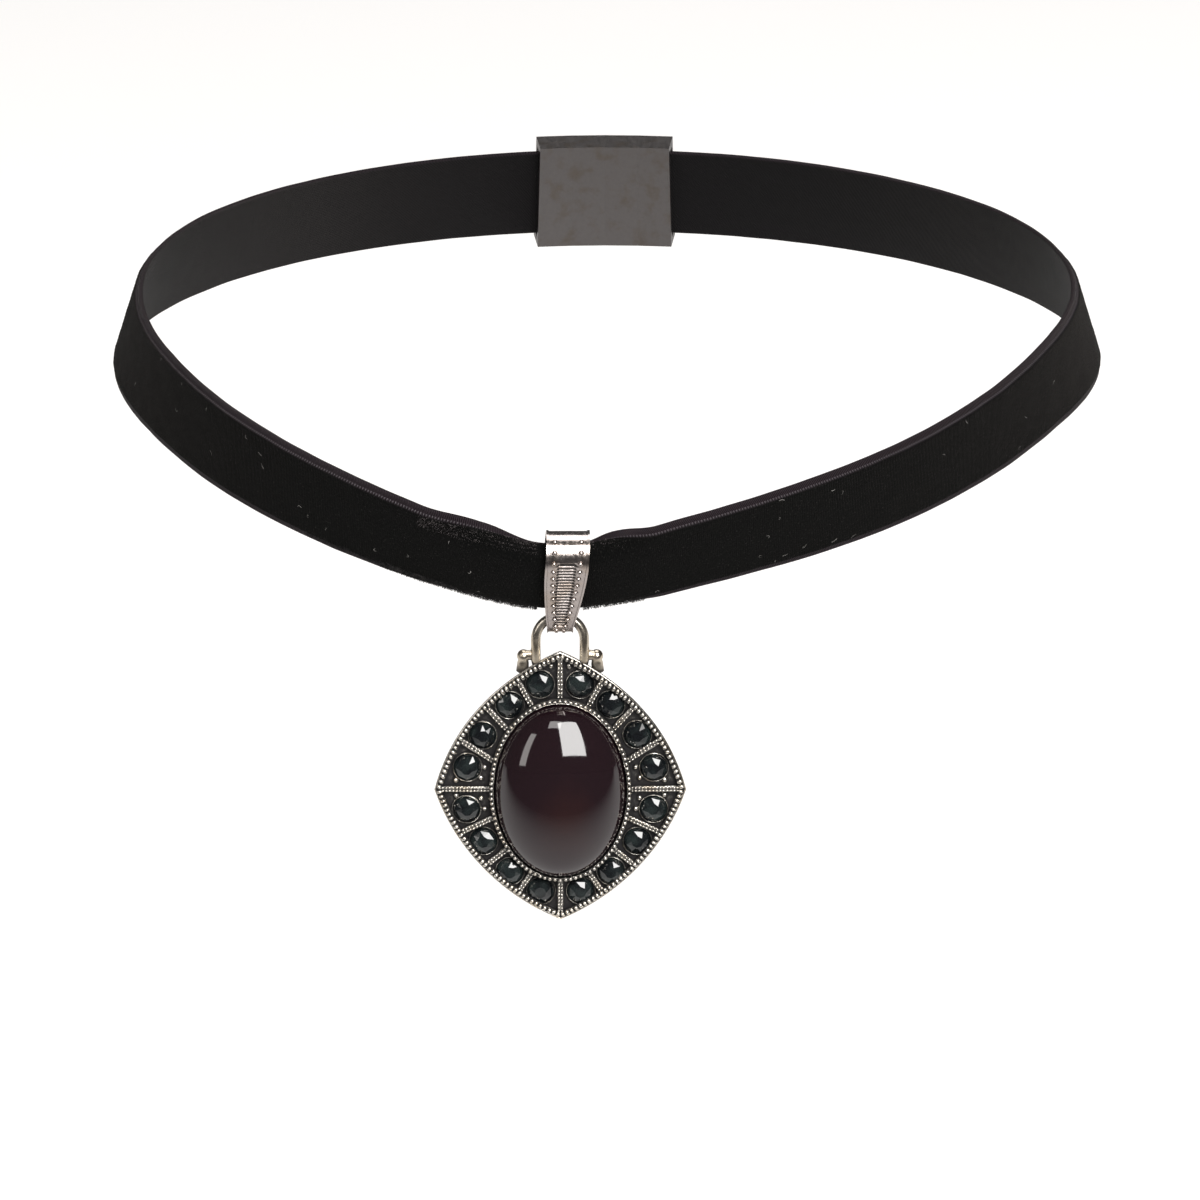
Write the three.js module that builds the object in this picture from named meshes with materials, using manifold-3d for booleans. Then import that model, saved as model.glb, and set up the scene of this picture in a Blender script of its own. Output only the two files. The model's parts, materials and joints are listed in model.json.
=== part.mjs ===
// Velvet choker necklace: a ribbon loop, a folded bail and a cushion-shaped
// pendant set with an oval cabochon and a ring of small cut stones.
// Millimetres, +Z up, the front of the necklace faces -Y. The origin is the
// middle of the neck opening.
import * as THREE from 'three';
import { mergeVertices } from 'three/addons/utils/BufferGeometryUtils.js';
import { ConvexGeometry } from 'three/addons/geometries/ConvexGeometry.js';
import Module from 'manifold-3d';

const wasm = await Module();
wasm.setup();

// Ribbon loop
const ribbonWidth = 10;
const ribbonThickness = 1;
const loopHalfWidth = 50.2;
const loopHalfDepth = 50;
const loopRise = 15;
const frontDrop = 15;
const bailSideways = -5;
const rightLag = 8;

// Curl of the ribbon inside the bail
const bailLean = 31;
const topCurlAngle = 105;
const topCurlRadius = 0.9;
const topCurlLip = 1.1;
const hemCurlAngle = 40;
const hemCurlRadius = 1.2;
const hemCurlLip = 1;
const curlHold = 2.7;
const curlReachLeft = 15;
const curlReachRight = 10;

// Bail
const bailSheet = 0.5;
const bailTopWidth = 4.3;
const bailFootWidth = 2.6;
const bailLength = 8.6;
const bailTopRadius = 2;
const bailSlant = 4.5;
const bailRimWidth = 0.3;
const bailRimHeight = 0.12;
const bailRibHeight = 0.1;
const bailRibPitch = 0.5;
const bailHeadroom = 0.8;

// Hidden clasp
const claspLength = 15;
const claspWall = 0.8;
const claspWeb = 1.4;

// Pendant plate, measured flat with its back at height 0
const pendantHalfWidth = 12.7;
const pendantHalfHeight = 13.4;
const sideSag = 1.9;
const floorHeight = 1.3;
const rimWidth = 0.6;
const rimHeight = 2.2;
const edgeBevel = 0.15;

// Cabochon and its bezel
const cabochonHalfWidth = 6.4;
const cabochonHalfHeight = 8.85;
const cabochonGirdle = 1.1;
const cabochonDome = 4;
const bezelWall = 0.55;
const bezelHeight = 2.7;
const cupFloor = 0.8;

// Small stones and the ridges between them
const stoneRadius = 1.2;
const stoneTable = 0.72;
const stoneCrown = 0.55;
const stoneGirdle = 0.15;
const stoneDepth = 0.75;
const stoneBase = 0.6;
const ridgeWidth = 0.6;
const ridgeHeight = 2;
const grainRadius = 0.27;

// Hanging ring and its knobs
const wireRadius = 0.48;
const ringRadius = 2.43;
const ringLegs = 3;
const ringSink = 0.27;
const ringSeat = 0.05;
const knobRadius = 0.6;
const knobTall = 1.35;
const knobOut = 1.15;

// Clearances between pieces that lie against each other
const ribbonGap = 0.2;
const wireGap = 0.2;
const settingGap = 0.1;
const claspGap = 0.25;

// Small stones of one quarter: the turn from the side, in degrees, and the
// share of the way from the bezel out to the rim
const stonePlaces = [
  { turn: 80, out: 0.49 },
  { turn: 59, out: 0.58 },
  { turn: 35.5, out: 0.6 },
  { turn: 13, out: 0.62 },
];

// Course of the ribbon from the bail to the back, by angle round the loop
const ribbonCourse = [
  { angle: 0, rise: 0, lean: 1 },
  { angle: 5, rise: 0.03, lean: 1 },
  { angle: 14, rise: 0.17, lean: 0.86 },
  { angle: 28, rise: 0.38, lean: 0.56 },
  { angle: 45, rise: 0.6, lean: 0.24 },
  { angle: 65, rise: 0.8, lean: -0.12 },
  { angle: 90, rise: 0.9, lean: -0.55 },
  { angle: 125, rise: 0.96, lean: -0.5 },
  { angle: 180, rise: 1, lean: -0.4 },
];

const velvet = new THREE.MeshStandardMaterial({ color: 0x17161a, roughness: 0.95, metalness: 0 });
const antiqueSilver = new THREE.MeshStandardMaterial({ color: 0xb3aa9c, roughness: 0.35, metalness: 1 });
const satinNickel = new THREE.MeshStandardMaterial({ color: 0x9a8d86, roughness: 0.4, metalness: 1 });
const darkGlass = new THREE.MeshStandardMaterial({ color: 0x1d1216, roughness: 0.08, metalness: 0 });
const blackStone = new THREE.MeshStandardMaterial({ color: 0x14181c, roughness: 0.06, metalness: 0 });

const radians = THREE.MathUtils.degToRad;

// Solids to and from the boolean kernel
function solidOf(geometry) {
  const plain = geometry.clone();
  plain.deleteAttribute('normal');
  plain.deleteAttribute('uv');
  const merged = mergeVertices(plain, 1e-5);
  return new wasm.Manifold(new wasm.Mesh({
    numProp: 3,
    vertProperties: new Float32Array(merged.attributes.position.array),
    triVerts: new Uint32Array(merged.index.array),
  }));
}

function geometryOf(solid) {
  const mesh = solid.getMesh();
  const geometry = new THREE.BufferGeometry();
  geometry.setAttribute('position', new THREE.BufferAttribute(mesh.vertProperties, 3));
  geometry.setIndex(new THREE.BufferAttribute(mesh.triVerts, 1));
  geometry.computeVertexNormals();
  return geometry;
}

function namedMesh(name, geometry, material) {
  const mesh = new THREE.Mesh(geometry, material);
  mesh.name = name;
  return mesh;
}

// A sheet with thickness between two grids of points. Rows run along the
// sheet, and a closed sheet joins its last row to its first.
function sheetSolid(front, back, closed) {
  const rows = front.length;
  const columns = front[0].length;
  const positions = [...front.flat(), ...back.flat()].flatMap((point) => point.toArray());
  const index = [];
  const at = (side, row, column) => (side * rows + (row % rows)) * columns + column;
  const quad = (a, b, c, d) => index.push(a, b, c, a, c, d);
  const spans = closed ? rows : rows - 1;
  for (let row = 0; row < spans; row += 1) {
    for (let column = 0; column < columns - 1; column += 1) {
      quad(at(0, row, column), at(0, row + 1, column), at(0, row + 1, column + 1), at(0, row, column + 1));
      quad(at(1, row, column), at(1, row, column + 1), at(1, row + 1, column + 1), at(1, row + 1, column));
    }
    const edge = columns - 1;
    quad(at(0, row, 0), at(1, row, 0), at(1, row + 1, 0), at(0, row + 1, 0));
    quad(at(0, row, edge), at(0, row + 1, edge), at(1, row + 1, edge), at(1, row, edge));
  }
  if (!closed) {
    const end = rows - 1;
    for (let column = 0; column < columns - 1; column += 1) {
      quad(at(0, 0, column), at(0, 0, column + 1), at(1, 0, column + 1), at(1, 0, column));
      quad(at(0, end, column), at(1, end, column), at(1, end, column + 1), at(0, end, column + 1));
    }
  }
  const geometry = new THREE.BufferGeometry();
  geometry.setAttribute('position', new THREE.Float32BufferAttribute(positions, 3));
  geometry.setIndex(index);
  geometry.computeVertexNormals();
  return geometry;
}

// Ribbon course
function courseAt(angle) {
  const lag = angle > 0 && angle < 90 ? rightLag * Math.sin(radians(angle * 2)) ** 2 : 0;
  const size = Math.abs(angle) - lag;
  const last = ribbonCourse.length - 2;
  const found = ribbonCourse.findIndex((knot, i) => i <= last && size <= ribbonCourse[i + 1].angle);
  const i = found < 0 ? last : found;
  const from = ribbonCourse[i];
  const to = ribbonCourse[i + 1];
  const before = ribbonCourse[Math.max(i - 1, 0)];
  const after = ribbonCourse[Math.min(i + 2, last + 1)];
  const span = to.angle - from.angle;
  const t = (size - from.angle) / span;
  const blend = (key) => {
    const slopeFrom = i === 0 ? 0 : ((to[key] - before[key]) / (to.angle - before.angle)) * span;
    const slopeTo = i === last ? 0 : ((after[key] - from[key]) / (after.angle - from.angle)) * span;
    const t2 = t * t;
    const t3 = t2 * t;
    return (2 * t3 - 3 * t2 + 1) * from[key] + (t3 - 2 * t2 + t) * slopeFrom
      + (3 * t2 - 2 * t3) * to[key] + (t3 - t2) * slopeTo;
  };
  return { rise: blend('rise') * loopRise, lean: radians(blend('lean') * bailLean) };
}

// Middle of the ribbon at an angle round the loop, 0 at the bail
function loopPoint(angle) {
  const turn = radians(angle);
  const sideways = Math.abs(angle) < 90 ? bailSideways * Math.cos(turn) ** 2 : 0;
  return new THREE.Vector3(
    loopHalfWidth * Math.sin(turn) + sideways,
    -loopHalfDepth * Math.cos(turn),
    courseAt(angle).rise - frontDrop,
  );
}

// Directions at an angle: along the loop, up across the ribbon, and outwards
function loopFrame(angle) {
  const step = 0.25;
  const along = loopPoint(angle + step).sub(loopPoint(angle - step)).normalize();
  const turn = radians(angle);
  const flatOut = new THREE.Vector3(Math.sin(turn) / loopHalfWidth, -Math.cos(turn) / loopHalfDepth, 0);
  const upright = new THREE.Vector3().crossVectors(flatOut, along).normalize();
  const outward = new THREE.Vector3().crossVectors(along, upright).normalize();
  const { lean } = courseAt(angle);
  const up = upright.clone().multiplyScalar(Math.cos(lean)).addScaledVector(outward, Math.sin(lean));
  const out = new THREE.Vector3().crossVectors(along, up).normalize();
  return { origin: loopPoint(angle), along, up, out };
}

// Share of the full curl at a distance along the ribbon from the bail
function curlShare(angle) {
  const distance = Math.abs(radians(angle)) * loopHalfWidth;
  const reach = angle < 0 ? curlReachLeft : curlReachRight;
  const t = THREE.MathUtils.clamp((distance - curlHold) / (reach - curlHold), 0, 1);
  return 1 - t * t * (3 - 2 * t);
}

// Stations across the ribbon's width, with the ends of its two curls
const topCurlArc = topCurlRadius * radians(topCurlAngle);
const hemCurlArc = hemCurlRadius * radians(hemCurlAngle);
const curlStations = [
  -ribbonWidth / 2,
  -ribbonWidth / 2 + hemCurlLip,
  -ribbonWidth / 2 + hemCurlLip + hemCurlArc,
  0,
  ribbonWidth / 2 - topCurlLip - topCurlArc,
  ribbonWidth / 2 - topCurlLip - topCurlArc * 0.67,
  ribbonWidth / 2 - topCurlLip - topCurlArc * 0.33,
  ribbonWidth / 2 - topCurlLip,
  ribbonWidth / 2,
];

// Turn of the ribbon's section, away from flat, at a station across it
function curlTurn(station, share) {
  const topStart = ribbonWidth / 2 - topCurlLip - topCurlArc;
  const hemStart = -ribbonWidth / 2 + hemCurlLip + hemCurlArc;
  const top = THREE.MathUtils.clamp((station - topStart) / topCurlRadius, 0, radians(topCurlAngle));
  const hem = THREE.MathUtils.clamp((hemStart - station) / hemCurlRadius, 0, radians(hemCurlAngle));
  return (top - hem) * share;
}

// Section of the ribbon's middle surface: out and up from its reference line
function ribbonSection(share) {
  const substeps = 8;
  const points = [{ out: 0, up: 0, turn: curlTurn(curlStations[0], share) }];
  for (let i = 1; i < curlStations.length; i += 1) {
    let { out, up } = points[i - 1];
    const step = (curlStations[i] - curlStations[i - 1]) / substeps;
    for (let j = 0; j < substeps; j += 1) {
      const turn = curlTurn(curlStations[i - 1] + step * (j + 0.5), share);
      out -= Math.sin(turn) * step;
      up += Math.cos(turn) * step;
    }
    points.push({ out, up, turn: curlTurn(curlStations[i], share) });
  }
  const middle = points[curlStations.indexOf(0)];
  return points.map((p) => ({ out: p.out - middle.out, up: p.up - middle.up, turn: p.turn }));
}

// Rows of points on one face of the ribbon, offset from its middle surface
function ribbonRows(angles, offset) {
  return angles.map((angle) => {
    const { origin, up, out } = loopFrame(angle);
    return ribbonSection(curlShare(angle)).map((p) => origin.clone()
      .addScaledVector(out, p.out + offset * Math.cos(p.turn))
      .addScaledVector(up, p.up + offset * Math.sin(p.turn)));
  });
}

// Angle that the loop turns through over a length at the back
const backAngle = (length) => THREE.MathUtils.radToDeg(length / loopHalfWidth);
const ribbonEndAngle = 180 - backAngle(claspWeb / 2 + claspGap);

// Angles of the ribbon's rows: close together at the curl, wider elsewhere
function ribbonAngles() {
  const coarse = 5.5;
  const fine = 2;
  const curlSpan = 18;
  const angles = [];
  for (let angle = -curlSpan; angle < curlSpan + fine / 2; angle += fine) {
    angles.push(angle);
  }
  const steps = Math.ceil((ribbonEndAngle - curlSpan) / coarse);
  for (let i = 1; i <= steps; i += 1) {
    const angle = curlSpan + ((ribbonEndAngle - curlSpan) * i) / steps;
    angles.push(angle);
    angles.unshift(-angle);
  }
  return angles;
}

function makeRibbon() {
  const angles = ribbonAngles();
  const half = ribbonThickness / 2;
  return sheetSolid(ribbonRows(angles, half), ribbonRows(angles, -half), false);
}

// A flat stretch of the loop, as a block around the ribbon's middle surface
function loopBlock(fromAngle, toAngle, width, thickness) {
  const steps = 4;
  const angles = Array.from({ length: steps + 1 }, (_, i) => fromAngle + ((toAngle - fromAngle) * i) / steps);
  const face = (offset) => angles.map((angle) => {
    const { origin, up, out } = loopFrame(angle);
    return [-width / 2, width / 2].map((side) => origin.clone()
      .addScaledVector(out, offset)
      .addScaledVector(up, side));
  });
  return sheetSolid(face(thickness / 2), face(-thickness / 2), false);
}

// Plain sleeve at the back with a pocket for each end of the ribbon
function makeClasp() {
  const clear = claspGap * 2;
  const pocketWidth = ribbonWidth + clear;
  const pocketThickness = ribbonThickness + clear;
  const half = backAngle(claspLength / 2);
  const web = backAngle(claspWeb / 2);
  const past = half + 1;
  let sleeve = solidOf(loopBlock(
    180 - half,
    180 + half,
    pocketWidth + claspWall * 2,
    pocketThickness + claspWall * 2,
  ));
  sleeve = sleeve.subtract(solidOf(loopBlock(180 + web, 180 + past, pocketWidth, pocketThickness)));
  sleeve = sleeve.subtract(solidOf(loopBlock(180 - past, 180 - web, pocketWidth, pocketThickness)));
  return geometryOf(sleeve);
}

// The ring's arch drops a little between the middle and the sides of the
// bail's foot, so the swing axis lies halfway down that drop
const archDrop = ringRadius - Math.sqrt(ringRadius ** 2 - (bailFootWidth / 2) ** 2);

// Bail in its own plane: up along the bail and out towards the viewer, with
// the swing axis at 0, 0 in the foot fold
const footRadius = wireRadius + archDrop / 2 + wireGap + bailSheet / 2;

function bailCourse() {
  const foot = new THREE.EllipseCurve(0, 0, footRadius, footRadius, radians(-140), 0, false);
  const head = new THREE.EllipseCurve(
    footRadius - bailTopRadius,
    bailLength,
    bailTopRadius,
    bailTopRadius,
    0,
    Math.PI,
    false,
  );
  const backFoot = foot.getPoint(0);
  const backHead = head.getPoint(1);
  const away = new THREE.Vector2(-Math.sin(radians(40)), Math.cos(radians(40)));
  const back = new THREE.CubicBezierCurve(
    backHead,
    new THREE.Vector2(backHead.x, bailLength * 0.46),
    backFoot.clone().addScaledVector(away, bailLength * 0.3),
    backFoot,
  );
  const ribs = Math.round(bailLength / bailRibPitch) * 2;
  const front = new THREE.LineCurve(foot.getPoint(1), head.getPoint(0));
  const parts = [
    { curve: foot, steps: 8, ribbed: false },
    { curve: front, steps: ribs, ribbed: true },
    { curve: head, steps: 12, ribbed: false },
    { curve: back, steps: 10, ribbed: false },
  ];
  return parts.flatMap(({ curve, steps, ribbed }) => Array.from({ length: steps }, (_, i) => {
    const point = curve.getPoint(i / steps);
    const tangent = curve.getTangent(i / steps);
    const normal = new THREE.Vector2(tangent.y, -tangent.x);
    return { point, normal, raised: ribbed && i % 2 === 1 };
  }));
}

function bailWidthAt(up) {
  const share = THREE.MathUtils.clamp(up / bailLength, 0, 1);
  return bailFootWidth + (bailTopWidth - bailFootWidth) * share ** 0.8;
}

function makeBail() {
  const course = bailCourse();
  const slope = Math.tan(radians(bailSlant));
  const face = (offset, relief) => course.map(({ point, normal, raised }) => {
    const half = bailWidthAt(point.y) / 2;
    const inner = half - bailRimWidth;
    const rib = raised ? bailRibHeight : 0;
    const profile = [
      [half, bailRimHeight],
      [inner, bailRimHeight],
      [inner - bailRimHeight, rib],
      [-inner + bailRimHeight, rib],
      [-inner, bailRimHeight],
      [-half, bailRimHeight],
    ];
    return profile.map(([across, height]) => {
      const lift = offset + (relief ? height : 0);
      const spot = point.clone().addScaledVector(normal, lift);
      return new THREE.Vector3(across + Math.max(point.y, 0) * slope, spot.y, spot.x);
    });
  });
  return sheetSolid(face(bailSheet / 2, true), face(-bailSheet / 2, false), true);
}

// Cushion outline of the pendant: four arcs between four corners
function cushionOutline(inset) {
  const chord = Math.hypot(pendantHalfWidth, pendantHalfHeight);
  const radius = chord ** 2 / (8 * sideSag) + sideSag / 2;
  const back = radius - sideSag;
  const centreX = pendantHalfWidth / 2 - (pendantHalfHeight / chord) * back;
  const centreY = pendantHalfHeight / 2 - (pendantHalfWidth / chord) * back;
  const reach = radius - inset;
  const start = Math.asin(-centreY / reach);
  const end = Math.acos(-centreX / reach);
  const steps = 8;
  const quarter = Array.from({ length: steps }, (_, i) => {
    const angle = start + ((end - start) * i) / steps;
    return [centreX + reach * Math.cos(angle), centreY + reach * Math.sin(angle)];
  });
  const top = [0, centreY + reach * Math.sin(end)];
  const right = quarter.slice(1);
  const corner = quarter[0];
  return [
    corner,
    ...right,
    top,
    ...right.toReversed().map(([x, y]) => [-x, y]),
    [-corner[0], 0],
    ...right.map(([x, y]) => [-x, -y]),
    [0, -top[1]],
    ...right.toReversed().map(([x, y]) => [x, -y]),
  ].map(([x, y]) => new THREE.Vector2(x, y));
}

function ovalOutline(halfWidth, halfHeight) {
  const sides = 48;
  return Array.from({ length: sides }, (_, i) => {
    const angle = (i / sides) * Math.PI * 2;
    return new THREE.Vector2(halfWidth * Math.cos(angle), halfHeight * Math.sin(angle));
  });
}

// Block over an outline, from one height to another, with small bevels if asked
function block(outline, from, to, bevel = 0) {
  const geometry = new THREE.ExtrudeGeometry(new THREE.Shape(outline), {
    depth: to - from - bevel * 2,
    bevelEnabled: bevel > 0,
    bevelSize: bevel,
    bevelThickness: bevel,
    bevelOffset: -bevel,
    bevelSegments: 1,
    curveSegments: 1,
  });
  geometry.translate(0, 0, from + bevel);
  return geometry;
}

// The sixteen small stones, clockwise from the top
function stoneCentres() {
  const middle = new THREE.Vector2();
  const bezelX = cabochonHalfWidth + settingGap + bezelWall;
  const bezelY = cabochonHalfHeight + settingGap + bezelWall;
  const rim = cushionOutline(rimWidth);
  const quarter = stonePlaces.map(({ turn, out }) => {
    const ray = new THREE.Vector2(Math.cos(radians(turn)), Math.sin(radians(turn)));
    const inside = distanceToOval(middle, ray, bezelX, bezelY);
    const outside = distanceToOutline(middle, ray, rim);
    return ray.multiplyScalar(inside + (outside - inside) * out).toArray();
  });
  const right = [...quarter, ...quarter.toReversed().map(([x, y]) => [x, -y])];
  const left = right.toReversed().map(([x, y]) => [-x, y]);
  return [...right, ...left].map(([x, y]) => new THREE.Vector2(x, y));
}

// Ridges between neighbouring stones, from the bezel to the rim
function ridgeGeometries() {
  const stones = stoneCentres();
  const bezelX = cabochonHalfWidth + settingGap + bezelWall / 2;
  const bezelY = cabochonHalfHeight + settingGap + bezelWall / 2;
  return stones.map((stone, i) => {
    const next = stones[(i + 1) % stones.length];
    const middle = stone.clone().add(next).multiplyScalar(0.5);
    const between = next.clone().sub(stone).normalize();
    const outward = new THREE.Vector2(-between.y, between.x);
    if (outward.dot(middle) < 0) {
      outward.negate();
    }
    const inside = distanceToOval(middle, outward, bezelX, bezelY);
    const outside = distanceToOutline(middle, outward, cushionOutline(rimWidth / 2));
    const length = outside - inside;
    const bar = new THREE.BoxGeometry(length, ridgeWidth, ridgeHeight - floorHeight / 2);
    bar.rotateZ(Math.atan2(outward.y, outward.x));
    const centre = middle.clone().addScaledVector(outward, (inside + outside) / 2);
    bar.translate(centre.x, centre.y, (ridgeHeight + floorHeight / 2) / 2);
    return bar;
  });
}

// Distance, along a direction from a point, back to an oval around the origin
function distanceToOval(point, direction, halfWidth, halfHeight) {
  const px = point.x / halfWidth;
  const py = point.y / halfHeight;
  const dx = direction.x / halfWidth;
  const dy = direction.y / halfHeight;
  const a = dx * dx + dy * dy;
  const b = 2 * (px * dx + py * dy);
  const c = px * px + py * py - 1;
  return (-b + Math.sqrt(Math.max(b * b - 4 * a * c, 0))) / (2 * a);
}

// Distance, along a direction from a point, out to a closed outline
function distanceToOutline(point, direction, outline) {
  const hits = outline.map((from, i) => {
    const to = outline[(i + 1) % outline.length];
    const edge = to.clone().sub(from);
    const across = direction.cross(edge);
    const offset = from.clone().sub(point);
    const along = offset.cross(edge) / across;
    const share = offset.cross(direction) / across;
    return share >= 0 && share <= 1 && along > 0 ? along : Infinity;
  });
  return Math.min(...hits);
}

// Small grains cast in the corner cells and beside the top ridge
function grainGeometries() {
  const stones = stoneCentres();
  const places = [];
  const side = stoneRadius + grainRadius * 1.6;
  stones.forEach((stone) => {
    const atSide = Math.abs(stone.y) < pendantHalfHeight * 0.2;
    const atTop = stone.y > pendantHalfHeight * 0.7;
    if (atSide) {
      const outer = Math.sign(stone.x);
      const inner = -Math.sign(stone.y);
      places.push([stone.x + outer * side * 0.62, stone.y + inner * side * 0.8]);
      places.push([stone.x - outer * side * 0.78, stone.y + inner * side * 0.62]);
      places.push([stone.x - outer * side, stone.y]);
    }
    if (atTop) {
      places.push([stone.x - Math.sign(stone.x) * side * 0.62, stone.y + side * 0.78]);
    }
  });
  return places.map(([x, y]) => {
    const grain = new THREE.SphereGeometry(grainRadius, 8, 6);
    grain.translate(x, y, floorHeight + grainRadius * 0.5);
    return grain;
  });
}

// Hanging ring: an arch whose legs run down into the plate
const ringCentre = pendantHalfHeight + ringRadius - ringSeat;
const ringHeight = rimHeight - ringSink;
const swingAxis = ringCentre + ringRadius - archDrop / 2;

class RingArch extends THREE.Curve {
  getPoint(t) {
    const arc = Math.PI * ringRadius;
    const length = arc + ringLegs * 2;
    const travelled = t * length;
    if (travelled < ringLegs) {
      return new THREE.Vector3(ringRadius, ringCentre - ringLegs + travelled, 0);
    }
    if (travelled > ringLegs + arc) {
      return new THREE.Vector3(-ringRadius, ringCentre - (travelled - ringLegs - arc), 0);
    }
    const angle = (travelled - ringLegs) / ringRadius;
    return new THREE.Vector3(ringRadius * Math.cos(angle), ringCentre + ringRadius * Math.sin(angle), 0);
  }
}

function ringGeometry() {
  const sides = 8;
  const section = Array.from({ length: sides }, (_, i) => {
    const angle = ((i + 0.5) / sides) * Math.PI * 2;
    return new THREE.Vector2(wireRadius * Math.cos(angle), wireRadius * Math.sin(angle));
  });
  const geometry = new THREE.ExtrudeGeometry(new THREE.Shape(section), {
    steps: 26,
    extrudePath: new RingArch(),
    bevelEnabled: false,
    curveSegments: 1,
  });
  geometry.translate(0, 0, ringHeight);
  return geometry;
}

// Round knobs that flank the ring's feet, each on a short post
function knobGeometries() {
  const knobX = ringRadius + knobOut;
  const knobY = pendantHalfHeight + knobRadius * 0.2;
  return [-1, 1].flatMap((side) => {
    const knob = new THREE.SphereGeometry(knobRadius, 12, 8);
    knob.scale(1, knobTall, 1);
    knob.translate(side * knobX, knobY, ringHeight);
    const post = new THREE.CylinderGeometry(knobRadius * 0.8, knobRadius, knobRadius * 4.4, 10);
    post.translate(side * knobX, knobY - knobRadius * 2.4, ringHeight);
    const link = new THREE.CylinderGeometry(knobRadius * 0.7, knobRadius * 0.7, knobOut, 10);
    link.rotateZ(Math.PI / 2);
    link.translate(side * (ringRadius + knobOut / 2), knobY - knobRadius * 0.8, ringHeight);
    return [knob, post, link];
  });
}

function makePendantFrame() {
  const cupX = cabochonHalfWidth + settingGap;
  const cupY = cabochonHalfHeight + settingGap;
  const above = bezelHeight + 1;
  let frame = solidOf(block(cushionOutline(0), 0, rimHeight, edgeBevel));
  frame = frame.subtract(solidOf(block(cushionOutline(rimWidth), floorHeight, above)));
  const bezel = block(ovalOutline(cupX + bezelWall, cupY + bezelWall), floorHeight / 2, bezelHeight, edgeBevel);
  frame = frame.add(solidOf(bezel));
  [...ridgeGeometries(), ringGeometry(), ...knobGeometries(), ...grainGeometries()].forEach((piece) => {
    frame = frame.add(solidOf(piece));
  });
  frame = frame.subtract(solidOf(block(ovalOutline(cupX, cupY), cupFloor, above)));
  stoneCentres().forEach((stone) => {
    const seat = new THREE.CylinderGeometry(stoneRadius + settingGap, stoneRadius + settingGap, above, 16);
    seat.rotateX(Math.PI / 2);
    seat.translate(stone.x, stone.y, stoneBase - settingGap + above / 2);
    frame = frame.subtract(solidOf(seat));
  });
  return geometryOf(frame);
}

// Cabochon: a polished oval dome on a straight girdle
function makeCabochon() {
  const rings = 9;
  const chamfer = 0.15;
  const base = cupFloor + settingGap;
  const girdle = base + cabochonGirdle;
  const profile = [
    new THREE.Vector2(0, base),
    new THREE.Vector2(1 - chamfer / cabochonHalfWidth, base),
    new THREE.Vector2(1, base + chamfer),
  ];
  for (let i = 0; i < rings; i += 1) {
    const angle = (i / rings) * (Math.PI / 2);
    profile.push(new THREE.Vector2(Math.cos(angle), girdle + cabochonDome * Math.sin(angle)));
  }
  profile.push(new THREE.Vector2(0, girdle + cabochonDome));
  const dome = new THREE.LatheGeometry(profile, 36);
  dome.rotateX(Math.PI / 2);
  dome.scale(cabochonHalfWidth, cabochonHalfHeight, 1);
  return dome;
}

// Round cut stone: octagonal table, two-row crown, pointed pavilion
function stoneGeometry() {
  const girdleLow = stoneBase + stoneDepth;
  const girdleHigh = girdleLow + stoneGirdle;
  const table = girdleHigh + stoneCrown;
  const points = [new THREE.Vector3(0, 0, stoneBase)];
  const ring = (count, radius, height, phase) => {
    for (let i = 0; i < count; i += 1) {
      const angle = ((i + phase) / count) * Math.PI * 2;
      points.push(new THREE.Vector3(radius * Math.cos(angle), radius * Math.sin(angle), height));
    }
  };
  ring(16, stoneRadius, girdleLow, 0);
  ring(16, stoneRadius, girdleHigh, 0);
  ring(8, stoneTable, table, 0.5);
  return new ConvexGeometry(points);
}

function makeStones() {
  return stoneCentres().map((centre, i) => {
    const name = `stone_${String(i + 1).padStart(2, '0')}`;
    const stone = namedMesh(name, stoneGeometry(), blackStone.clone());
    stone.position.set(centre.x, centre.y, 0);
    stone.rotation.z = (i * 0.7) % 1;
    return stone;
  });
}

// Place of the ring's wire in the bail's foot, below and behind the ribbon
function wirePoint() {
  const { origin, up, out } = loopFrame(0);
  const headCentre = bailLength;
  const straightTop = ribbonWidth / 2 - topCurlLip - topCurlArc;
  const curlTop = straightTop + topCurlRadius + ribbonThickness / 2;
  const clearTop = headCentre + bailTopRadius - bailSheet / 2 - bailHeadroom;
  const outShift = footRadius - bailSheet / 2 - ribbonGap - ribbonThickness / 2;
  return origin.clone()
    .addScaledVector(up, curlTop - clearTop)
    .addScaledVector(out, -outShift);
}

const choker = new THREE.Group();
choker.add(namedMesh('ribbon', makeRibbon(), velvet));
choker.add(namedMesh('clasp', makeClasp(), satinNickel));

const wire = wirePoint();
const bail = namedMesh('bail', makeBail(), satinNickel.clone());
bail.position.copy(wire);
bail.rotation.x = radians(90 + bailLean);
choker.add(bail);

// The pendant hangs straight down from the wire that lies in the bail's foot
const pendant = new THREE.Group();
pendant.position.set(wire.x, wire.y + ringHeight, wire.z - swingAxis);
pendant.rotation.x = Math.PI / 2;
pendant.add(namedMesh('pendant_frame', makePendantFrame(), antiqueSilver));
pendant.add(namedMesh('cabochon', makeCabochon(), darkGlass));
pendant.add(...makeStones());
choker.add(pendant);

export default choker;
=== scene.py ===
"""Velvet choker necklace with a folded bail and a cushion-shaped pendant.

Metres, +Z up, the front of the necklace faces -Y. Metal pieces are modelled on
a bench in millimetres, lying flat with their face up, and are then stood in
their place on the necklace. Each finished mesh holds its place itself.
"""

import bisect
import json
import math
import random

import bmesh
import bpy
from mathutils import Matrix, Vector, noise


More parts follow.
